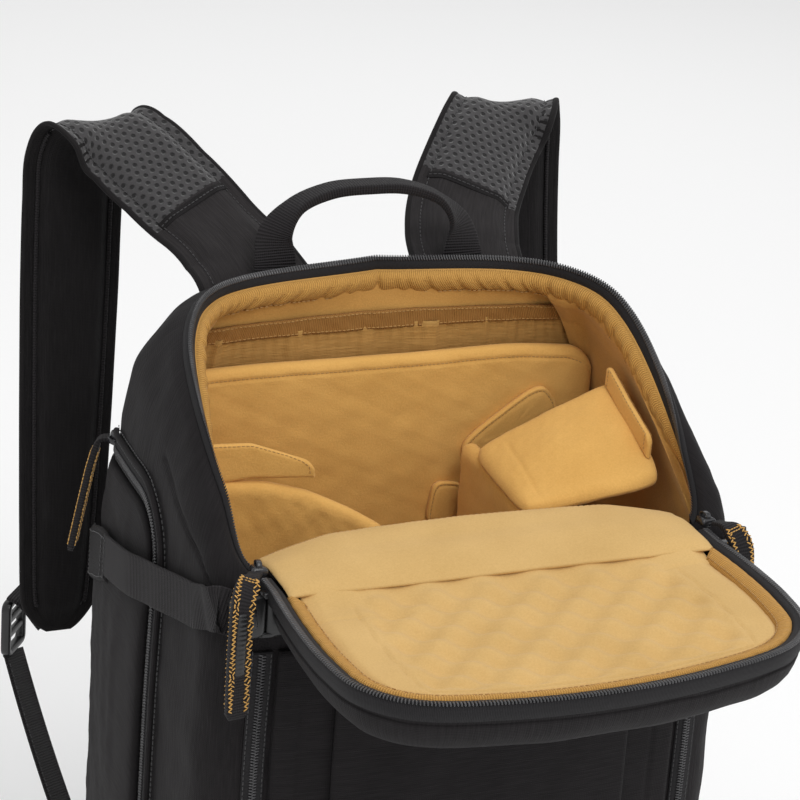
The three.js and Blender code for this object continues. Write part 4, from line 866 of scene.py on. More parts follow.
def pad_grid():
    u, v = np.meshgrid(np.linspace(0, 1, 151), np.linspace(0, 1, 97))
    top = lid_patch(u, v, 11.5).reshape(*u.shape, 3)
    x, y = top[..., 0], top[..., 1]
    # a plain margin at both sides and in front, then a seam, then the soft bumps
    side = np.minimum(u, 1 - u) * 230
    margin = np.minimum(side - 24 - 10 * v, (1 - v) * 125 - 9)
    inner = ease(margin, 1, 12)
    egg = np.cos(2 * math.pi * (x + 0.25 * y) / 31) * np.cos(2 * math.pi * (y + 114) / 25)
    rim = np.minimum(side, (1 - v) * 125)
    height = -2.6 + 2.6 * ease(rim, 0, 10) - 1.6 * inner + 2.7 * egg * inner
    height = height - 1.0 * groove(margin, 0.9) * (v > 0.12) + 0.5 * lump(top, 60, 8)
    # the hinge panel's seam runs across near the rear
    line = v - (0.17 - 0.05 * np.cos(math.pi * u))
    height = height - 0.8 * groove(line * 130, 1.0) * ((u < 0.3) | (u > 0.7))
    height = height + 2.8 * ease(0.16 - v, 0, 0.16)
    top[..., 2] = HINGE_Z + height
    # its rear edge tucks under the hinge panel
    tuck = ease(0.1 - v, 0, 0.1)
    top[..., 1] += 10 * tuck
    top[..., 2] += 1.2 * tuck
    low = lid_patch(u, v, 24).reshape(*u.shape, 3)
    low[..., 2] = HINGE_Z - 26.2
    return low, top, margin


low, top, margin = pad_grid()
keep(slab("pad_foam", low, top, PAD), "pad", "lid_pad")


# Hinge: black strip outside, padded lining over it

def hinge_grid(columns, route, count=0):
    """Lines from the lid into the bag along a route of (row, distance back, rise).

    Row 0 is the lid's rear edge, 1 is half way, and 2 is the wall's edge. With a count, each
    line is smoothed to that many points.
    """
    lines = []
    for column in columns:
        e = rim_point(abs(column)) * (math.copysign(1, column), 1, 1)
        rows = [(e[0], REAR + 1.5, HINGE_Z), (e[0], (REAR + e[1]) / 2, (HINGE_Z + e[2]) / 2 + 0.5), e]
        line = np.array([np.array(rows[k]) + (0, dy, dz) for k, dy, dz in route])
        lines.append(smooth(line, np.linspace(0, len(line) - 1, count)) if count else line)
    return np.array(lines)


hinge_columns = np.linspace(-4.55, 4.55, 61)
strip = hinge_grid(hinge_columns, [(0, -2, 0.9), (0, 6, 0.9), (1, 0, 0.9), (2, 0, 0.9)])
keep(slab("hinge_strip", strip, strip + (0, 0, 2), BLACK), "fabric", "lid_hinge")

upper = [(0, -9, 2.6), (0, -1, 5.6), (1, -2, 7.2), (1, 10, 7.6), (2, 4, 7.4), (2, 10, 6.2),
         (2, 14.5, 3.2), (2, 17, -1.5), (2, 18.6, -8),
         (2, 19, -15)]
lower = [(0, -8.2, 1.2), (0, -1, 2.4), (1, -2, 3.6), (1, 10, 3.6), (2, 4, 3.6), (2, 9, 3.0), (2, 12, 0.6),
         (2, 13.6, -3), (2, 14.8, -9),
         (2, 15.2, -15)]
panel_columns = np.linspace(-4.62, 4.62, 101)
lower_lines = hinge_grid(panel_columns, lower, 46)
upper_lines = hinge_grid(panel_columns, upper, 46)
fade = np.clip(np.minimum(np.linspace(0, 1, 101), np.linspace(1, 0, 101)) * 22, 0, 1)[:, None] ** 0.5
upper_lines = lower_lines + (upper_lines - lower_lines) * (0.2 + 0.8 * fade[..., None])
bend = np.linspace(0, 1, 46)[None, :]
upper_lines[..., 2] += fade * (0.7 * lump(upper_lines, 70, 9) - 0.9 * groove((bend - 0.58) * 46, 0.8))
keep(slab("hinge_panel", lower_lines, upper_lines, PAD), "lining", "hinge_lining")
keep(stitches("hinge_stitches", upper_lines[2:-2, 27], UP, 3.4, TAN_THREAD, 0.28), "lining")


# Panels on the outer wall

def wall_slab(name, columns, bottom, top, out, pad, edge, material, rows=40, fold=0.0, relief=None, seed=0):
    """A padded panel on the wall: full in the middle and thin at its edges."""
    c = np.tile(np.asarray(columns, float), (rows, 1))
    low_z, high_z = np.broadcast_to(bottom, c.shape[1:]), np.broadcast_to(top, c.shape[1:])
    t = np.linspace(0, 1, rows)[:, None]
    r = row_at(c, low_z + (high_z - low_z) * t)
    s = np.linspace(0, 1, c.shape[1])[None, :]

    def full(x):
        return np.clip(4.5 * np.minimum(x, 1 - x), 0, 1) ** 0.55

    body = full(s) * full(t)
    outer = wall(c, r)
    height = edge + (pad - edge) * body
    height = height + fold * body * (0.6 * lump(outer, 70, seed) + 0.4 * lump(outer, 26, seed + 1))
    if relief is not None:
        height = height + relief(outer, c, s, t)
    return slab(name, wall(c, r, np.full(c.shape, float(out))), wall(c, r, out + np.maximum(height, 0.4)),
                material)


def front_relief(outer, c, s, t):
    x = outer[..., 0]
    return -0.9 * groove(np.abs(x) - 104, 0.9)


edge_col = float(front_col(118))
keep(wall_slab("front_padding", np.linspace(-edge_col, edge_col, 121), 26, 312, 0.6, 6.0, 2.2, BLACK, 70,
               0.9, front_relief, 21),
     "fabric", "front_panel")
edge_col = float(front_col(86))
keep(wall_slab("pocket_front", np.linspace(-edge_col, edge_col, 91), 26, 302, 7.6, 3.0, 1.2, BLACK, 60,
               0.7, None, 23),
     "fabric", "front_pocket")


def zipper_on_wall(name, columns, heights, out, slot_node, coil=True):
    """Tape and meshed coil along a route on the wall."""
    columns, heights = np.asarray(columns, float), np.asarray(heights, float)
    r = row_at(columns, heights)
    path = wall(columns, r, np.full(len(r), float(out)))
    up = table(NORMAL, columns, r)
    along = np.gradient(path, axis=0)
    along /= np.linalg.norm(along, axis=1, keepdims=True)
    across = np.cross(up, along)
    shape = [(-6, -1.2), (-6, -0.4), (-3.3, 0.1), (-2.4, 0.3), (2.4, 0.3), (3.3, 0.1), (6, -0.4),
             (6, -1.2), (0, -1.2)]
    rings = np.stack([path + across * a + up * h for a, h in shape], 1)
    keep(tube(name + "_tape", rings, TAPE), "zipper", slot_node)
    keep(teeth(name + "_coil", path + up * 0.6, across, up, 2.6, 1.7, 1.6, True), "zipper")
    for side in (-1, 1):
        keep(stitches("%s_stitches_%d" % (name, side + 2), path + across * 5.1 * side - up * 0.25, up,
                      3.0, BLACK_THREAD, 0.28),
             "zipper")
    return path, across, up


DOOR = np.array([(17, 356), (16, 356), (15, 356), (14, 356), (13.6, 356), (13.07, 354.3), (12.6, 349.5),
                 (12.22, 342),
                 (11.98, 332.5), (11.9, 322), (11.9, 248), (11.9, 174), (11.9, 100), (11.9, 26)])
route = even(np.column_stack([DOOR * (13, 1), 0 * DOOR[:, 0]]), 240) / (13, 1, 1)


def door_route():
    """The door's route on the wall, the way out from the door, and the wall's normal."""
    r = row_at(route[:, 0], route[:, 1])
    path = wall(route[:, 0], r)
    up = table(NORMAL, route[:, 0], r)
    along = np.gradient(path, axis=0)
    along /= np.linalg.norm(along, axis=1, keepdims=True)
    return path, np.cross(up, along), up


for side, sign in SIDES:
    zipper_on_wall("front_zip_" + side, np.full(200, sign * float(front_col(127))),
                   np.linspace(26, 312, 200), 1.8,
                   "front_zipper_" + side)
    zipper_on_wall("side_zip_" + side, sign * route[:, 0], route[:, 1], 1.8, "side_zipper_" + side)
    path, away, up = door_route()
    cord = path - away * 9.2 + up * 2.4
    welt = path - away * 12.5 + up * 1.2
    if sign < 0:
        cord, welt, up = mirror(cord), mirror(welt), mirror(up)
    keep(sweep("side_welt_" + side, cord, up, 3.4, 3.4, BLACK, "round", 12), "fabric", "side_piping_" + side)
    keep(stitches("side_welt_stitches_" + side, welt, up, 3.2, BLACK_THREAD, 0.3), "fabric")

    # puffy door: its front edge follows the zipper, its crown falls to the back
    first = float(side_col(-4.5))
    columns = np.r_[first + np.array([0, 0.06, 0.14, 0.25, 0.4, 0.6, 0.85, 1.15]),
                    np.linspace(first + 1.35, 18, 46)]
    depth = (columns - first) * 20
    short = np.maximum(0, 26.5 - depth)
    top = 348.5 - 26.5 + np.sqrt(26.5 ** 2 - short ** 2)

    def door_relief(outer, c, s, t):
        z, y = outer[..., 2], outer[..., 1]
        crease = groove(z - (322 + 0.25 * (y - 40)), 3.5) * 0.9 + groove(z - 300 - 0.1 * y, 5) * 1.6
        return -crease * np.clip(1 - abs(s - 0.4) * 1.4, 0, 1)

    door = wall_slab("door_" + side, sign * columns, 26, top, 0.6, 9.0, 3.0, BLACK, 90, 1.3, door_relief, 31)
    keep(door, "fabric", "side_door_" + side)


# Back: mesh pad with a spine channel

def back_relief(outer, c, s, t):
    x, z = outer[..., 0], outer[..., 2]
    channel = groove(x, 11) * 5.5
    cross = sum(groove(z - h, 3.5) for h in (120, 215, 310)) * 2.6
    return -np.maximum(channel, cross) * np.clip(np.minimum(s, 1 - s) * 9, 0, 1)


first = float(back_col(116))
back = wall_slab("back_padding", np.linspace(first, 2 * LAST - first, 101), 26, 406, 0.6, 12.0, 4.0,
                 BLACK, 110, 0.6,
                 back_relief, 41)
keep(back, "mesh", "back_panel")


# Straps: foam with thin stitched edges, air mesh above the yoke, bound round the edge

def honeycomb(name, dark, light, pitch=0.0052):
    """Spacer mesh: round holes in a close pattern, from three bands at 60 degrees."""
    n = Nodes(name, 0.82, Sheen_Weight=0.25, Sheen_Roughness=0.5)
    n.set(n.shader, Specular_IOR_Level=0.3)
    bands = [n.wave(n.uv(turn), pitch * 0.866) for turn in (0, math.pi / 3, 2 * math.pi / 3)]
    total = n.math("ADD", n.math("ADD", bands[0], bands[1]), bands[2])
    ridge = n.ramp(total, 0.55, 1.5)
    fibre = n.noise(n.place(), 0.0007, 2.0)
    tone = n.math("ADD", n.math("MULTIPLY", ridge, 0.75), n.math("MULTIPLY", fibre, 0.25))
    fine = n.bump(fibre, 0.0002, 0.4)
    return n.finish(n.mix(tone, dark, light), n.bump(ridge, 0.0011, 0.9, fine))


AIR = honeycomb("air_mesh", (0.0022, 0.002, 0.0021), (0.05, 0.0475, 0.049))
back.data.materials[0] = AIR

STRAP = np.array([
    (62, 98.9, 412.7, 0, 66, 5.4), (64.3, 100.8, 435.2, 0, 68, 7.2), (69.6, 123.5, 447.8, 0, 68, 10.8),
    (81.1, 149.2, 460, 0, 66, 12), (97.9, 171.2, 476.7, 2, 64.7, 12), (114, 188.7, 491.6, 4, 64, 12),
    (125.5, 200.2, 498.4, 0, 63.4, 12), (133.1, 209.2, 495.2, -4, 63.4, 12),
    (137.7, 213.7, 482.6, -8, 63.4, 12),
    (139.2, 213.7, 455.5, -10, 63.4, 12), (141.5, 207.2, 399.1, -10, 62.7, 12),
    (145.4, 194.7, 333.7, -10, 59.4, 12),
    (150.7, 178.2, 270.6, -10, 54.8, 12), (155.3, 165.6, 221, -10, 48.8, 10.8),
    (156.1, 161.7, 203.9, -10, 33, 6),
])
MESH_FROM = 3.35


def strap_stations(count=230):
    """Middles, directions across and up, widths, thicknesses and places in the table."""
    at = np.linspace(0, len(STRAP) - 1, count)
    middle = smooth(STRAP[:, :3], at)
    rest = np.column_stack([np.interp(at, np.arange(len(STRAP)), STRAP[:, k]) for k in (3, 4, 5)])
    for _ in range(8):
        rest[1:-1] = (rest[:-2] + 2 * rest[1:-1] + rest[2:]) / 4
    turn = np.radians(rest[:, 0])
    across = np.column_stack([np.cos(turn), np.sin(turn), 0 * turn])
    _, across, up = sides_of(middle, across)
    return middle, across, up, rest[:, 1], rest[:, 2], at


def strap_rings():
    middle, across, up, width, thick, at = strap_stations()
    length = np.r_[0, np.cumsum(np.linalg.norm(np.diff(middle, axis=0), axis=1))]
    to_end = length[-1] - length
    # the lower end is rounded
    round_end = np.sqrt(np.clip(1 - (1 - np.clip(to_end / 17, 0, 1)) ** 2, 0.05, 1))
    width = width * (0.45 + 0.55 * round_end)
    share = np.r_[np.linspace(-1, 1, 33)]
    share = np.sign(share) * (1 - (1 - abs(share)) ** 1.35)
    rings = []
    for k in range(len(middle)):
        half_w, half_t = width[k] / 2 - 1.6, thick[k] / 2 - 0.4
        x = share * half_w
        inside = half_w - abs(x)
        full = ease(inside, 6.2, 15) ** 0.7
        seam = groove(inside - 6.0, 0.9)
        ends = ease(to_end[k], 2, 16) * (0.35 + 0.65 * ease(length[k], 20, 60))
        crown = 1.3 + (half_t - 1.3) * full * ends - 0.5 * seam
        quilt = 0.5 * groove((to_end[k] - 34) / 1.1, 1.0) * full
        top = crown - quilt + 0.35 * lump(np.column_stack([x, x * 0, x * 0 + length[k]]), 42, 51) * full
        spot = np.column_stack([x, x * 0 + 40, x * 0 + length[k]])
        low = crown - quilt + 0.35 * lump(spot, 42, 52) * full
        ring = np.concatenate([
            middle[k] + across[k] * x[:, None] + up[k] * top[:, None],
            (middle[k] + across[k] * x[:, None] - up[k] * low[:, None])[::-1],
        ])
        rings.append(ring)
    return np.array(rings), middle, across, up, width, length, to_end, at


strap, middle, across, up, width, length, to_end, at = strap_rings()
for side, sign in SIDES:
    flip = (sign, 1, 1)
    piece = tube("strap_" + side, strap * flip, PLAIN)
    piece.data.materials.append(YOKE_PAINTED_LIGHT)
    piece.data.materials.append(AIR)
    split = np.interp(MESH_FROM, at, length)
    centres = np.empty(len(piece.data.polygons) * 3)
    piece.data.polygons.foreach_get("center", centres)
    centres = centres.reshape(-1, 3) / MM * flip
    near = ((centres[:, None, :] - middle[None, ::3]) ** 2).sum(2).argmin(1) * 3
    outer_face = ((centres - middle[near]) * up[near]).sum(1) > 0
    lean = ((centres - middle[near]) * across[near]).sum(1)
    place = length[near] + 0.12 * lean
    # the rising part takes the yoke's lighter copy of the cloth, painted light; past the split the outer face
    # takes air mesh and the inner face the strap cloth
    index = np.where(outer_face & (place > split), 2, np.where(place > split + 8, 0, 1))
    piece.data.polygons.foreach_set("material_index", index.astype(np.int32))
    keep(piece, "fabric", "shoulder_strap_" + side)
    # a bound edge all round, a seam inside it and piping on the plain face
    half = (width / 2 - 1.5)[:, None]
    rim = np.concatenate([middle + across * half, (middle - across * half)[::-1]])
    lift = np.concatenate([up, up[::-1]])
    keep(sweep("strap_edge_" + side, rim * flip, lift * flip, 3.0, 4.2, PLAIN, "round", 10), "fabric")
    for k, (way, inset, face) in enumerate(((1, 8.3, 1), (-1, 8.3, 1), (1, 8.3, -1), (-1, 8.3, -1))):
        line = middle + across * way * (half - inset + 1.5) + up * face * 1.5
        inner = slice(14, -12)
        keep(stitches("strap_seam_%s_%d" % (side, k), line[inner] * flip, (up * face)[inner] * flip, 3.2,
                      BLACK_THREAD, 0.3),
             "fabric")
        if face < 0:
            line = middle + across * way * (half - 6.4) - up * 2.3
            line = line[120:-14]
            keep(sweep("strap_piping_%s_%d" % (side, k), line * flip, across[120:-14] * flip, 2.4, 2.4,
                       WEBBING, "round", 8),
                 "fabric")
    # the seam where the mesh starts
    station = int(np.interp(split, length, np.arange(len(length))))
    x = np.linspace(-1, 1, 40)[:, None] * (half[station] - 5.5)
    k = station
    crown = strap[k, :33]
    order = np.interp(x[:, 0], (crown - middle[k]) @ across[k], (crown - middle[k]) @ up[k])
    line = middle[k] + across[k] * x + up[k] * (order[:, None] + 0.15)
    keep(sweep("strap_band_" + side, line * flip, np.tile(np.cross(across[k], up[k]), (40, 1)) * flip,
               5.0, 0.9, PLAIN), "fabric")
    keep(stitches("strap_band_stitches_" + side, (line + up[k] * 0.5) * flip, up[k] * flip, 3.0,
                  BLACK_THREAD, 0.3), "fabric")


# Webbing of the straps, ladder locks and their anchors

def edge_stitches(name, points, across, width, thickness, material, pitch=3.0, both=True, inset=1.5):
    """Rows of stitches along both edges of a webbing, on one face or both."""
    points = np.asarray(points, float)
    _, across, up = sides_of(points, across)
    for face in ((1, -1) if both else (1,)):
        for way in (1, -1):
            line = points + across * way * (width / 2 - inset) + up * face * thickness / 2
            keep(stitches("%s_%d%d" % (name, face + 1, way + 1), line, up * face, pitch, material, 0.28),
                 "webbing")


def box_stitch(name, middle, x, y, up, long, tall, material=BLACK_THREAD, slot="webbing"):
    """A square of stitches with a cross in it."""
    middle, x, y, up = (np.asarray(v, float) for v in (middle, x, y, up))
    corners = [middle + x * a * long / 2 + y * b * tall / 2
               for a, b in ((-1, -1), (1, -1), (1, 1), (-1, 1))]
    route = [corners[k] for k in (0, 1, 2, 3, 0, 2)]
    points = np.concatenate([np.linspace(a, b, 12)[:-1] for a, b in zip(route, route[1:])] + [[route[-1]]])
    keep(stitches(name, points, up, 2.6, material, 0.3), slot)
    keep(stitches(name + "_cross", np.linspace(corners[1], corners[3], 12), up, 2.6, material, 0.3), slot)


def loop_path(corners, radius, count=7):
    """A closed path through corners that are rounded."""
    corners = np.asarray(corners, float)
    points = []
    for k in range(len(corners)):
        a, b, c = corners[k - 1], corners[k], corners[(k + 1) % len(corners)]
        start = b + (a - b) / np.linalg.norm(a - b) * radius
        end = b + (c - b) / np.linalg.norm(c - b) * radius
        for t in np.linspace(0, 1, count):
            points.append((1 - t) ** 2 * start + 2 * t * (1 - t) * b + t * t * end)
    return np.array(points)


def closed_sweep(name, points, up, width, thickness, material, kind="strap", count=14):
    """A bar swept round a closed path; up is the direction square to its plane."""
    points = np.asarray(points, float)
    along = np.roll(points, -1, 0) - np.roll(points, 1, 0)
    along /= np.linalg.norm(along, axis=1, keepdims=True)
    up = np.broadcast_to(np.asarray(up, float), points.shape)
    across = np.cross(up, along)
    shape = section(kind, count)
    rings = (points[:, None] + shape[None, :, :1] * across[:, None] * width
             + shape[None, :, 1:] * up[:, None] * thickness)
    return tube(name, rings, material, True)


LOCK = np.array([177, 184.7, 198.4])
lock_x, lock_z = np.array([-0.6, 0.8, 0]), np.array([0, 0, 1.0])
lock_out = np.cross(lock_x, lock_z)
for side, sign in SIDES:
    flip = (sign, 1, 1)
    corners = [LOCK + lock_x * a * 12 + lock_z * b * 16 for a, b in ((-1, -1), (1, -1), (1, 1), (-1, 1))]
    keep(closed_sweep("lock_frame_" + side, loop_path(corners, 4) * flip, lock_out * flip, 4, 6, SHELL,
                      "pad"),
         "plastic", "ladder_lock_" + side)
    for k, (z, thick) in enumerate(((5.5, 4.6), (-4.5, 4.2))):
        line = LOCK + lock_z * z + lock_x * np.linspace(-12.5, 12.5, 12)[:, None]
        keep(sweep("lock_bar_%s_%d" % (side, k), line * flip, lock_out * flip, thick, 4.4, SHELL, "pad",
                   12), "plastic")
    line = LOCK + lock_z * -18 + lock_out * 1.5 + lock_x * np.linspace(-9, 9, 12)[:, None]
    keep(sweep("lock_lip_" + side, line * flip, lock_z * flip, 4.4, 3.0, SHELL, "pad", 12), "plastic")

    tip = np.array([(158.1, 170.7, 205.9), (165.2, 176.2, 213.0), (171.5, 180.4, 217.6), (177, 184.7, 219.2)])
    tip = even(tip, 40)
    tip_across = np.linspace((1, -0.18, 0), lock_x * -1, 40)
    keep(sweep("tip_webbing_" + side, tip * flip, tip_across * flip, 24, 2.2, WEBBING, "strap", 16),
         "webbing", "strap_tip_" + side)
    start, end = np.array([177, 184.7, 179.7]), np.array([150.4, 112.6, 66])
    control = (start + end) / 2 + (2, 2, -6)
    t = np.linspace(0, 1, 90)[:, None]
    line = (1 - t) ** 2 * start + 2 * t * (1 - t) * control + t * t * end
    twist = np.tile(lock_x * -1, (90, 1))
    keep(sweep("lower_webbing_" + side, line * flip, twist * flip, 24, 2.0, WEBBING, "strap", 16), "webbing",
         "strap_webbing_" + side)
    edge_stitches("lower_webbing_stitches_" + side, line[4:-4] * flip, twist[4:-4] * flip, 24, 2.1,
                  BLACK_THREAD, 3.4, True, 1.8)

    # sewn wing that holds the webbing's end
    root, tip = np.array([135.9, 93.4, 66]), np.array([149.1, 110.8, 66])
    u, v = np.meshgrid(np.linspace(0, 1, 30), np.linspace(-1, 1, 26))
    tall = 17 + (10 - 17) * u ** 1.2
    spot = root + (tip - root) * u[..., None]
    spot = spot + np.stack([0 * u, 0 * u, v * tall], -1)
    face = np.cross(tip - root, (0, 0, 1.0))
    face /= np.linalg.norm(face)
    puff = 2.0 * (np.clip(6 * np.minimum(1 - abs(v), 1), 0, 1) ** 0.5)[..., None]
    keep(slab("wing_" + side, (spot - face * puff) * flip, (spot + face * puff) * flip, PLAIN), "fabric",
         "strap_anchor_" + side)
    for k in (-1, 1):
        box_stitch("wing_stitch_%s_%d" % (side, k + 1), (root + (tip - root) * 0.6 + face * 2.1 * k) * flip,
                   (tip - root) / np.linalg.norm(tip - root) * flip, (0, 0, 1), face * k * flip, 9, 15)


# Carry handle

HANDLE = np.array([
    (57, 94.9, 416, 0, 24, 2), (57, 94.9, 449, 0, 24, 2), (56, 99.9, 466.2, 35, 20, 3.5),
    (44, 103.9, 479.9, 80, 16, 5),
    (23, 105.9, 487.5, 90, 15, 6), (0, 105.9, 489, 90, 15, 6)])
other = HANDLE[-2::-1] * (-1, 1, 1, 1, 1, 1)
other[:, 3] = 180 - other[:, 3]
handle = np.concatenate([HANDLE, other])
at = np.linspace(0, len(handle) - 1, 200)
line = smooth(handle[:, :3], at)
turn, width, thick = (np.interp(at, np.arange(len(handle)), handle[:, k]) for k in (3, 4, 5))
for values in (turn, width, thick):
    for _ in range(10):
        values[1:-1] = (values[:-2] + 2 * values[1:-1] + values[2:]) / 4
turn = np.radians(turn)
across = np.column_stack([np.cos(turn), np.sin(turn), 0 * turn])
keep(sweep("grip", line, across, width, thick, WEBBING, "strap", 24), "webbing", "carry_handle")
for side, sign in SIDES:
    box_stitch("grip_box_" + side, (57 * sign, 93.7, 428), (1, 0, 0), (0, 0, 1), (0, -1, 0), 17, 16)


# Sliders and webbing pulls

def slider(name, seat, forward, up, node, size=1.0):
    """A cast slider: a wedge with flanges, and a bridge over it."""
    seat, forward, up = (np.asarray(v, float) for v in (seat, forward, up))
    forward /= np.linalg.norm(forward)
    up = up - forward * (up @ forward)
    up /= np.linalg.norm(up)
    across = np.cross(up, forward)
    rings = []
    for f, w, low, high in ((-4.6, 5.0, -1.6, 1.2), (-4.2, 6.6, -2.3, 2.0), (-2.5, 7.0, -2.6, 2.4),
                            (0, 7.6, -2.6, 2.5),
                            (2.4, 8.6, -2.6, 2.4), (4.0, 8.8, -2.4, 2.0), (4.5, 8.0, -1.6, 1.2)):
        shape = section("pad", 20) * (w, high - low) + (0, (high + low) / 2)
        rings.append(seat + forward * f * size + (across * shape[:, :1] + up * shape[:, 1:]) * size)
    keep(tube(name, rings, METAL), "plastic", *node)
    arc = [seat + (forward * f + up * h) * size for f, h in
           ((-3.4, 1.8), (-3.2, 3.6), (-1.6, 4.5), (0.4, 4.6), (2.2, 4.2), (3.0, 3.2), (3.2, 1.8))]
    keep(sweep(name + "_bridge", even(arc, 24), across, 3.0 * size, 1.1 * size, METAL, "pad", 12), "plastic")


def zigzag(line, side_way, half, pitch):
    """A line that crosses itself from side to side."""
    span = np.r_[0, np.cumsum(np.linalg.norm(np.diff(line, axis=0), axis=1))]
    at = np.arange(0, span[-1], pitch)
    middle = np.column_stack([np.interp(at, span, line[:, k]) for k in range(3)])
    way = np.column_stack([np.interp(at, span, side_way[:, k]) for k in range(3)])
    return middle + way * half * np.where(np.arange(len(at)) % 2, 1, -1)[:, None]


def pull(name, points, across, node, width=12.0, thickness=4.2, insert=True):
    """A doubled webbing pull with gold stitched edges and a ribbed grip."""
    line = even(points, 110)
    _, side_way, up = sides_of(line, np.asarray(across, float))
    span = np.r_[0, np.cumsum(np.linalg.norm(np.diff(line, axis=0), axis=1))]
    start, end = span, span[-1] - span
    wide = width * (0.62 + 0.38 * ease(start, 4, 16)) * (1 - 0.25 * (1 - ease(end, 0, 3)))
    thick = thickness * (0.55 + 0.45 * ease(start, 3, 12)) * (0.7 + 0.3 * ease(end, 0, 3))
    keep(sweep(name, line, side_way, wide, thick, WEBBING, "strap", 20), "webbing", *node)
    part = slice(int(np.interp(12, span, np.arange(110))),
                 int(np.interp(span[-1] - 2.5, span, np.arange(110))))
    for face in (1, -1):
        for way in (1, -1):
            edge = (line + side_way * way * (wide[:, None] / 2 - 1.5)
                    + up * face * (thick[:, None] / 2 + 0.02))[part]
            zig = zigzag(edge, side_way[part], 1.0, 1.25)
            step = float(np.linalg.norm(zig[1] - zig[0]))
            facing = (up * face)[part]
            share = np.linspace(0, len(facing) - 1, len(zig))
            facing = np.column_stack([np.interp(share, np.arange(len(facing)), facing[:, k])
                                      for k in range(3)])
            keep(stitches("%s_gold_%d%d" % (name, face + 1, way + 1), zig, facing, step, GOLD_THREAD,
                          0.36, 0.96), "webbing")
    for face in (1, -1):
        first = line[part][0] + up[part][0] * face * (thick[part][0] / 2 + 0.05)
        down = line[part][4] - line[part][0]
        down /= np.linalg.norm(down)
        for k in range(2):
            spot = first + down * (1.2 + 1.8 * k)
            row = spot + side_way[part][0] * np.linspace(-1, 1, 12)[:, None] * (width / 2 - 1.8)
            keep(stitches("%s_tack_%d%d" % (name, face + 1, k), row, up[part][0] * face, 1.8, GOLD_THREAD,
                          0.34, 0.8), "webbing")
    if insert:
        low, high = (int(np.interp(span[-1] * part_way, span, np.arange(110))) for part_way in (0.34, 0.74))
        patch = line[low:high]
        wave = 0.35 * np.sin(span[low:high] * 2 * math.pi / 2.6)
        from_ends = np.minimum(span[low:high] - span[low], span[high - 1] - span[low:high])
        caps = np.clip(from_ends / 1.5, 0, 1) ** 0.5
        keep(sweep(name + "_grip", patch, side_way[low:high], (width - 5.4) * (0.7 + 0.3 * caps),
                   (thickness + 1.1 + wave * 1.4) * (0.8 + 0.2 * caps),
                   SHELL, "pad", 20), "plastic")


PULLS = {
    "left": ([(-131.5, -95.5, 357.1), (-138.5, -105.5, 358.1), (-144.5, -114.5, 351.1),
              (-146, -116.5, 332.1), (-146, -117, 288.1)],
             (1, 0.15, 0)),
    "right": ([(131.5, -95.5, 357.1), (134.5, -105.5, 358.1), (137.5, -114.5, 351.1),
               (138.5, -116.5, 332.1), (138.5, -117, 288.1)],
              (1, -0.15, 0)),
}
SIDE_PULL = np.array([(151.7, 90.1, 356.2), (156.1, 91.5, 355.2), (159.6, 92.5, 344.2),
                      (163.1, 93.5, 326.2), (170.1, 94.5, 288.2)])
for side, sign in SIDES:
    flip = (sign, 1, 1)
    slider("slider_" + side, (128 * sign, -89.5, 356.1), (0.1 * sign, -1, 0.1), (0, 0, 1),
           ["zipper_slider_" + side])
    points, across = PULLS[side]
    pull("pull_" + side, points, across, ["zipper_pull_" + side], 12.0)
    seat = np.array([148.1, 86.5, 356.2])
    slider("door_slider_" + side, seat * flip, (0.25 * sign, 1, 0), (0.86 * sign, 0.5, 0),
           ["side_slider_" + side])
    pull("door_pull_" + side, SIDE_PULL * flip, np.array((-0.45, 0.9, 0)) * flip, ["side_pull_" + side],
         12.0, 4.0, False)


# Side compression strap and its buckle

TAB_ROWS = ((90, 290), (68.5, 297), (47, 304))
WEB = np.array([(14.8, 306, 11.6), (13.7, 310.3, 11.6), (12.7, 314.2, 11.2), (11.9, 317.4, 8.5),
                (11, 320.9, 6.5), (10, 324.8, 3.6),
                (9, 328.7, 2.4), (8, 332.7, 3.2), (7.4, 335, 8.5), (6.9, 337, 13.5)])
BUCKLE_Y, BUCKLE_Z = -101.6, 337.0


def bar_tube(name, stations, y, z, sign, material, slot, node=(), power="strap"):
    """A plastic body along x: stations of x, height, thickness and offset out."""
    rings = []
    for x, tall, thick, out in stations:
        shape = section(power, 28) * (tall, thick)
        ring = np.column_stack([np.full(28, x * sign), y - out + shape[:, 1], z + shape[:, 0]])
        rings.append(ring)
    return keep(tube(name, rings, material), slot, *node)


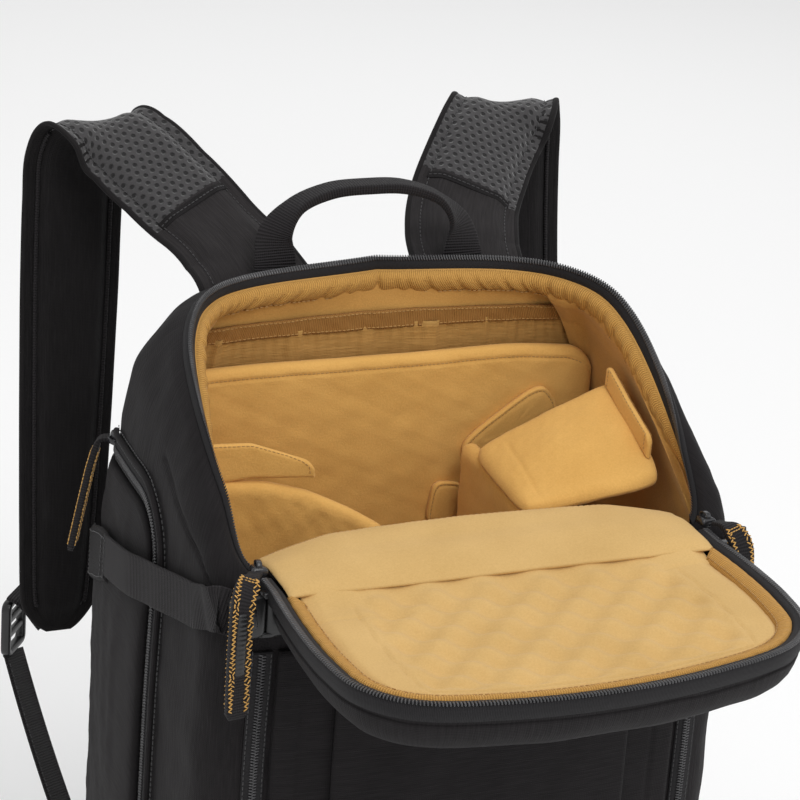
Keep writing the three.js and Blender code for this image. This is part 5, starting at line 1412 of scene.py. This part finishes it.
for side, sign in SIDES:
    flip = (sign, 1, 1)
    # tab: doubled cloth sewn to the door, its free end faces forward
    y = np.linspace(89.6, 42, 50)
    height = np.interp(-y, [-row[0] for row in TAB_ROWS], [row[1] for row in TAB_ROWS])
    column = side_col(np.clip(y, -70, 70)) + np.clip(y - 70, 0, None) / 26 * 1.6
    t = np.linspace(-0.5, 0.5, 30)[:, None]
    c = np.tile(column, (30, 1))
    tall = 33 - 5 * ease(-y, -60, -42)
    r = row_at(c, height + t * tall)
    u = np.linspace(0, 1, 50)[None, :]
    soft = np.clip(np.minimum(np.minimum(t + 0.5, 0.5 - t) * 9, np.minimum(u, 1 - u) * 14), 0, 1) ** 0.5
    low = wall(c, r, np.full(c.shape, 10.4))
    high = wall(c, r, 10.6 + 2.1 * soft + 0 * c)
    keep(slab("tab_" + side, low * flip, high * flip, PLAIN), "fabric", "side_tab_" + side)
    # stitched border
    for k, line in enumerate((high[3, 2:48], high[26, 2:48], high[3:27, 3], high[3:27, 46], high[3:27, 40])):
        keep(stitches("tab_stitches_%s_%d" % (side, k), line * flip + np.array((0.2 * sign, 0, 0)),
                      (sign, 0, 0), 2.8, BLACK_THREAD, 0.3),
             "fabric")
    # webbing forward to the buckle
    route_w = smooth(WEB, np.linspace(0, len(WEB) - 1, 120))
    r = row_at(route_w[:, 0], route_w[:, 1])
    line = wall(route_w[:, 0], r, route_w[:, 2])
    line = np.concatenate([line, np.linspace(line[-1], (140.0, BUCKLE_Y - 1, BUCKLE_Z), 10)[1:]])
    normal = np.concatenate([table(NORMAL, route_w[:, 0], r), np.tile((0.1, -1, 0.05), (9, 1))])
    along = np.gradient(line, axis=0)
    way = np.cross(along, normal)
    for _ in range(6):
        way[1:-1] = (way[:-2] + 2 * way[1:-1] + way[2:]) / 4
    keep(sweep("side_strap_" + side, line * flip, way * flip, 24, 2.2, WEBBING, "strap", 18), "webbing",
         "side_webbing_" + side)
    # side-release buckle
    socket = [(147, 17, 5.0, 0), (146.2, 20, 6.6, 0), (144, 22.4, 7.4, 0.2), (138, 23.6, 8.0, 0.4),
              (132, 23.0, 8.0, 0.4),
              (129.4, 21.6, 7.2, 0.2), (128.2, 19.5, 5.6, 0)]
    bar_tube("socket_" + side, socket, BUCKLE_Y, BUCKLE_Z, sign, SHELL, "plastic", ["buckle_socket_" + side])
    ridge = [(144, 9, 1.2, 4.4), (143, 11, 1.8, 4.5), (137, 12, 2.0, 4.7), (134, 10.5, 1.8, 4.6),
             (133, 8.5, 1.2, 4.4)]
    bar_tube("socket_ridge_" + side, ridge, BUCKLE_Y, BUCKLE_Z, sign, SHELL, "plastic")
    plug = [(127.6, 16.5, 4.4, 0), (126.8, 20.5, 5.8, 0), (124.0, 23.6, 6.8, 0), (120, 24.0, 7.0, 0),
            (116, 23.2, 6.8, 0), (113, 22, 6.2, 0),
            (111.2, 19.5, 4.4, 0)]
    bar_tube("plug_" + side, plug, BUCKLE_Y, BUCKLE_Z, sign, SHELL, "plastic", ["buckle_plug_" + side])
    for k, z in enumerate((-10.9, 10.9)):
        prong = [(130.5, 2.8, 4.6, 0.2), (128.5, 3.6, 5.4, 0.2), (125, 3.9, 5.8, 0.2), (121.5, 3.0, 5.4, 0.2)]
        bar_tube("prong_%s_%d" % (side, k), prong, BUCKLE_Y, BUCKLE_Z + z, sign, SHELL, "plastic", (), "pad")
    for k, x in enumerate((114.2, 117.2)):
        rib = [(x - 0.9, 15, 0.8, 3.3), (x, 17, 1.5, 3.5), (x + 0.9, 15, 0.8, 3.3)]
        bar_tube("plug_rib_%s_%d" % (side, k), rib, BUCKLE_Y, BUCKLE_Z, sign, SHELL, "plastic", (), "pad")
    # short webbing that anchors the plug
    x = np.linspace(111.5, 90.4, 40)
    out_by = np.interp(-x, (-111.5, -104, -96, -90), (9.0, 5.5, 2.6, 1.7))
    r = row_at(front_col(x), np.full(40, 336.0))
    line = wall(front_col(x), r, out_by)
    keep(sweep("plug_strap_" + side, line * flip, (0, 0, 1), 20, 2.0, WEBBING, "strap", 16), "webbing",
         "buckle_anchor_" + side)
    box_stitch("plug_box_" + side, (line[-9] + (0, -1.1, 0)) * flip, (1, 0, 0), (0, 0, 1), (0, -1, 0), 9, 13)


# Inside: padded dividers, their tabs and the gathered pocket

def round_edge(distance, radius):
    """From 0 at an edge to 1 at a radius inside it, as a quarter circle."""
    return np.sqrt(1 - (1 - np.clip(distance / radius, 0, 1)) ** 2)


def board(name, plan, low, high, pad, material, corner=(8, 8), lean=0.0, puff=0.6, seed=60, rows=44,
          count=110, feet=False, hem=0.0):
    """An upright padded panel along a plan path. Returns the piece and its two faces."""
    plan = even(np.column_stack([np.asarray(plan, float)[:, :2], np.zeros(len(plan))]), count)
    along = np.gradient(plan, axis=0)
    along /= np.linalg.norm(along, axis=1, keepdims=True)
    out = np.column_stack([along[:, 1], -along[:, 0], 0 * along[:, 0]])
    span = np.r_[0, np.cumsum(np.linalg.norm(np.diff(plan, axis=0), axis=1))]
    place = np.linspace(0, 1, count)
    low, high = (np.interp(place, np.linspace(0, 1, len(v)), v)
                 for v in (np.atleast_1d(low), np.atleast_1d(high)))
    for values in (low, high):
        for _ in range(6):
            values[1:-1] = (values[:-2] + 2 * values[1:-1] + values[2:]) / 4
    for distance, radius in ((span, corner[0]), (span[-1] - span, corner[1])):
        if radius:
            short = np.clip(radius - distance, 0, radius)
            high = high - (radius - np.sqrt(np.maximum(radius ** 2 - short ** 2, 0)))
    t = (1 - (1 - np.linspace(0, 1, rows)) ** 1.4)[:, None]
    z = low + (high - low) * t
    middle = plan[None] + np.stack([0 * z, 0 * z, z], -1)
    middle = middle + out[None] * (lean * t)[..., None]
    from_edge = np.minimum(np.minimum(span, span[-1] - span)[None, :] + 0 * z, high - z)
    if feet:
        from_edge = np.minimum(from_edge, z - low)
    full = 0.12 + 0.88 * round_edge(from_edge, min(pad * 0.62, 7))
    swell = 0.5 * puff * lump(middle, 44, seed) * full + 0.25 * puff * lump(middle, 17, seed + 1) * full
    half = pad / 2 * full
    if hem:
        half = half - 0.75 * groove(high - z - hem, 0.9) * np.clip(from_edge / 3, 0, 1)
    faces = [middle + out[None] * (way * half + swell)[..., None] for way in (-1, 1)]
    return slab(name, faces[0], faces[1], material), faces[0], faces[1], out


def seam_on(name, face, out, lines, slot="lining", material=TAN_THREAD, lift=0.25):
    """Stitches over a face along lines of (column, row) places in its grid."""
    for k, line in enumerate(lines):
        line = np.asarray(line, float)
        at = np.linspace(0, len(line) - 1, 60)
        c = np.interp(at, np.arange(len(line)), line[:, 0])
        r = np.interp(at, np.arange(len(line)), line[:, 1])
        i, j = np.clip(r.astype(int), 0, face.shape[0] - 2), np.clip(c.astype(int), 0, face.shape[1] - 2)
        s, t = (c - j)[:, None], (r - i)[:, None]
        points = (face[i, j] * (1 - s) * (1 - t) + face[i, j + 1] * s * (1 - t)
                  + face[i + 1, j] * (1 - s) * t + face[i + 1, j + 1] * s * t)
        up = out[np.clip(c.round().astype(int), 0, len(out) - 1)]
        keep(stitches("%s_%d" % (name, k), points + up * lift, up, 2.6, material, 0.26), slot)


# tall divider across the compartment, with a turned edge along its top
heights = (np.interp(np.linspace(-1, 1, 24), (-1, 0, 0.6, 1), (400, 402.4, 401.4, 396))
           + 0.9 * np.sin(np.linspace(0, 9, 24)))
piece, rear, front, out = board("tall_panel", [(-133, 68), (0, 68.0), (133, 68)], 200.6, heights, 10.4,
                                TRICOT_PAINTED_LIGHT, (12, 17), 0, 0.9, 61, 110, 240, False, 6.5)
keep(piece, "lining", "tall_divider")
down = np.array([np.argmin(abs(front[:, k, 2] - (front[-1, k, 2] - 6.5))) for k in range(240)])
line = front[down, np.arange(240)]
if front[40, 100, 1] > rear[40, 100, 1]:
    line = rear[down, np.arange(240)]
line = line[8:-8]
for _ in range(10):
    line[1:-1] = (line[:-2] + 2 * line[1:-1] + line[2:]) / 4
keep(stitches("tall_stitches", line + (0, -0.15, 0), (0, -1, 0), 2.6, TAN_THREAD, 0.26), "lining")

# left divider and the tab that folds over it
LEFT = [(-139.2, 8.6, 357), (-99.5, 8.6, 361), (-61.2, 5.8, 359), (-47.4, 2.9, 352), (-33.7, -1, 341),
        (-19.9, -7.7, 328)]
piece = board("left_panel", LEFT, 200.6, [p[2] for p in LEFT], 11, TRICOT_PAINTED_LIGHT, (5, 8), 0, 1.4, 63, 60, 130)[0]
keep(piece, "lining", "left_divider")
TAB = [(-135.2, 8.2, 384), (-99.5, 8.2, 382), (-61.2, 6.0, 368)]
piece, rear, front, out = board("left_tab", TAB, [357.6, 361.4, 359.4], [p[2] for p in TAB], 4, TRICOT_PAINTED_LIGHT,
                                (4, 7), 0, 0.5, 65, 24, 80, True)
keep(piece, "lining", "left_divider_tab")
lines = [[(5, 20.5), (62, 20.5), (70, 18.5), (74.5, 14), (75.5, 3)]]
for face, sign in ((front, 1), (rear, -1)):
    seam_on("left_tab_stitches_%d" % (sign + 1), face, out * sign, lines, lift=0.1)


# Right divider: an upright wall under a soft folded top

def flap_point(u, v, side, pad=9.0, crown=5.0):
    """The top's lower (side -1) or upper (side 1) face, from left to right and front to rear."""
    u, v = np.asarray(u, float), np.asarray(v, float)
    a, b = 2 * u - 1, 2 * v - 1
    a, b = a * (1 - 0.07 * abs(b) ** 7), b * (1 - 0.08 * abs(a) ** 7)
    x = 42.1 + (86 - 2 * (1 - v)) * (a + 1) / 2
    y = -44 + 72 * (b + 1) / 2
    share = (y + 44) / 72
    z = 348 + 6 * share + (x - 42.1) * 0.43 * (0.3 + 0.7 * share)
    rim = round_edge(np.minimum(np.minimum(u, 1 - u) * 88, np.minimum(v, 1 - v) * 76), 6.5)
    z = z + crown * np.sin(math.pi * u) * np.sin(math.pi * v) + side * pad / 2 * (0.08 + 0.92 * rim)
    place = np.stack([x, y, z], -1)
    dent = 0.7 * lump(place, 52, 66) + 0.35 * lump(place, 21, 67)
    place[..., 2] += dent * rim
    return place


u, v = np.meshgrid(np.linspace(0, 1, 90), np.linspace(0, 1, 76))
low, high = flap_point(u, v, -1), flap_point(u, v, 1)
# creases where the top folds down to the upright wall
crease = groove((u - 0.13 - 0.05 * v) * 94, 1.6) * np.clip(v * 4, 0, 1) * np.clip((0.92 - v) * 6, 0, 1)
high[..., 2] -= 0.7 * crease
piece = slab("right_flap", low, high, TRICOT_PAINTED_LIGHT)
keep(piece, "lining", "right_divider_flap")
WALL_R = [(48.6, 48.2, 353.0), (48.6, 23.7, 353.0), (48.6, -8, 350.2), (48.6, -38.2, 346.0)]
piece = board("right_panel", WALL_R, 200.6, [p[2] for p in WALL_R], 11, TRICOT_PAINTED_LIGHT, (6, 4), 0, 1.0, 68, 50, 90)[0]
keep(piece, "lining", "right_divider")
HOOKS = [(122.0, -31.7, 380.5), (121.4, -8, 391.5), (120.5, 23.7, 403.9)]
piece, rear, front, out = board("hook_flap", HOOKS, [368, 378.6, 391], [p[2] for p in HOOKS], 3.6, TRICOT_PAINTED_LIGHT,
                                (5, 5), 0, 0.4, 69, 22, 80, True)
keep(piece, "lining", "right_divider_hook")
right_face = rear if rear[10, 40, 0] > front[10, 40, 0] else front
normal = out if right_face is front else -out
inner = right_face[3:-4, 5:-5]
direction = normal[5:-5][None]
fuzz = 0.3 * lump(inner, 3.1, 70)[..., None]
keep(slab("hook_patch", inner + direction * 0.1, inner + direction * (0.9 + fuzz), HOOK), "binding")
other_face = front if right_face is rear else rear
seam_on("hook_stitches", other_face, -normal, [[(6, 3), (6, 18.5), (73, 18.5), (73, 3)]], lift=0.1)


def face_tab(name, width, height, x, z, turn, node, seed):
    """A rounded tab that lies on the tall divider's face."""
    s = np.linspace(0, 2 * math.pi, 97)[:-1]
    c, d = np.cos(s), np.sin(s)
    outline = np.column_stack([np.sign(c) * abs(c) ** 0.5 * width / 2,
                               np.sign(d) * abs(d) ** 0.5 * height / 2])
    rings = []
    profile = [(0.02, 0.1), (0.97, 0.1), (1.0, 1.6), (0.99, 2.9), (0.955, 3.8), (0.9, 4.1), (0.835, 3.55),
               (0.77, 4.1), (0.55, 4.3),
               (0.3, 4.4), (0.02, 4.4)]
    smaller = min(width, height)
    for share, depth in profile:
        scaled = outline * (1 - (1 - share) * smaller / np.array([width, height]))
        if share < 0.1:
            scaled = outline * share
        p = np.column_stack([scaled[:, 0] * math.cos(turn) - scaled[:, 1] * math.sin(turn) + x,
                             np.full(len(s), 62.6 - depth),
                             scaled[:, 0] * math.sin(turn) + scaled[:, 1] * math.cos(turn) + z])
        if depth > 1:
            p[:, 1] -= 0.3 * lump(p, 22, seed)
        rings.append(p)
    keep(tube(name, rings, TRICOT_PAINTED_LIGHT), "lining", node)
    line = rings[6]
    keep(stitches(name + "_stitches", np.concatenate([line, line[:2]]) + (0, -0.1, 0), (0, -1, 0), 2.4,
                  TAN_THREAD, 0.26), "lining")


face_tab("right_tab", 62, 25, 80, 353, 0.62, "right_divider_tab", 71)
face_tab("low_tab", 20, 27, 42.8, 309, -0.12, "small_tab", 72)


# Pocket on the back wall, gathered under its elastic

def back_layer(name, columns, low, high, thickness, out_at, material, rows, gather):
    """A cloth on the compartment's back wall; gather gives its distance inwards."""
    c = np.tile(np.asarray(columns, float), (rows, 1))
    t = np.linspace(0, 1, rows)[:, None]
    low = np.broadcast_to(low, c.shape[1:])
    high = np.broadcast_to(high, c.shape[1:])
    r = row_at(c, low + (high - low) * t)
    base = wall(c, r)
    depth = out_at + gather(base, np.linspace(-1, 1, c.shape[1])[None, :], t)
    near, far = wall(c, r, -depth), wall(c, r, -depth - thickness)
    return slab(name, near, far, material), near, far


FOLDS = np.random.default_rng(5)
fold_at = np.sort(FOLDS.uniform(-0.92, 0.92, 17))
fold_wide = FOLDS.uniform(0.016, 0.034, 17)
fold_deep = FOLDS.uniform(0.6, 2.2, 17)
fold_lean = FOLDS.uniform(-0.05, 0.05, 17)
fold_long = FOLDS.uniform(0.5, 0.9, 17)


def pocket_gather(base, s, t):
    total = 0 * base[..., 0] + 0.8
    for at, wide, deep, lean, long in zip(fold_at, fold_wide, fold_deep, fold_lean, fold_long):
        shift = s - at - lean * (1 - t)
        total = total + deep * np.exp(-(shift / (wide * (1.5 - 0.5 * t))) ** 2) * ease(t, 1 - long, 1)
    return total + 0.5 * np.sin(s * 170) * ease(t, 0.86, 1) + 0.5 * lump(base, 30, 73)


first = 18.5
pocket_columns = np.linspace(first, 2 * LAST - first, 341)
piece = back_layer("pocket_pouch", pocket_columns, 205, 416.5, 1.0, 12.7, POCKET, 60, pocket_gather)[0]
keep(piece, "lining", "back_pocket")


def elastic_gather(base, s, t):
    return 1.2 + 0.22 * np.sin(s * 190) * (1 - 0.5 * abs(2 * t - 1)) + 0.55 * lump(base, 26, 74)


elastic_columns = np.linspace(first, 2 * LAST - first, 401)
piece, _, far = back_layer("pocket_band", elastic_columns, 413.6, 424.4, 1.9, 12.9, HOOK, 12, elastic_gather)
keep(piece, "binding", "pocket_elastic")
for k, row in enumerate((1, 10)):
    keep(stitches("pocket_band_stitches_%d" % k, far[row, 4:-4], (0, -1, 0), 2.6, TAN_THREAD, 0.28),
         "binding")

# side walls: thick linings whose rolled ends stand before the pocket
for side, sign in SIDES:
    c = np.linspace(8.0, 19.0, 100)
    rows_in = np.linspace(0, 1, 64)[:, None]
    cc = np.tile(c, (64, 1))
    low_row = row_at(c, np.full(100, 202.0))
    rr = low_row + (8.72 - low_row) * rows_in
    base = wall(cc, rr)
    from_end = (19.0 - cc) * 10.5
    from_top = (8.72 - rr) * 9
    full = 0.1 + 0.9 * np.minimum(round_edge(from_end, 5.5), round_edge(from_top, 5)) * ease(cc, 8.0, 9.2)
    puff = (4.3 + 2.6 * ease(cc, 16.6, 18.2)) * full + 0.6 * full * lump(base, 46, 75)
    near, far = wall(cc, rr, np.full(cc.shape, -12.2)), wall(cc, rr, -12.3 - puff)
    piece = slab("side_liner_" + side, near * (sign, 1, 1), far * (sign, 1, 1), LINING)
    keep(piece, "lining")
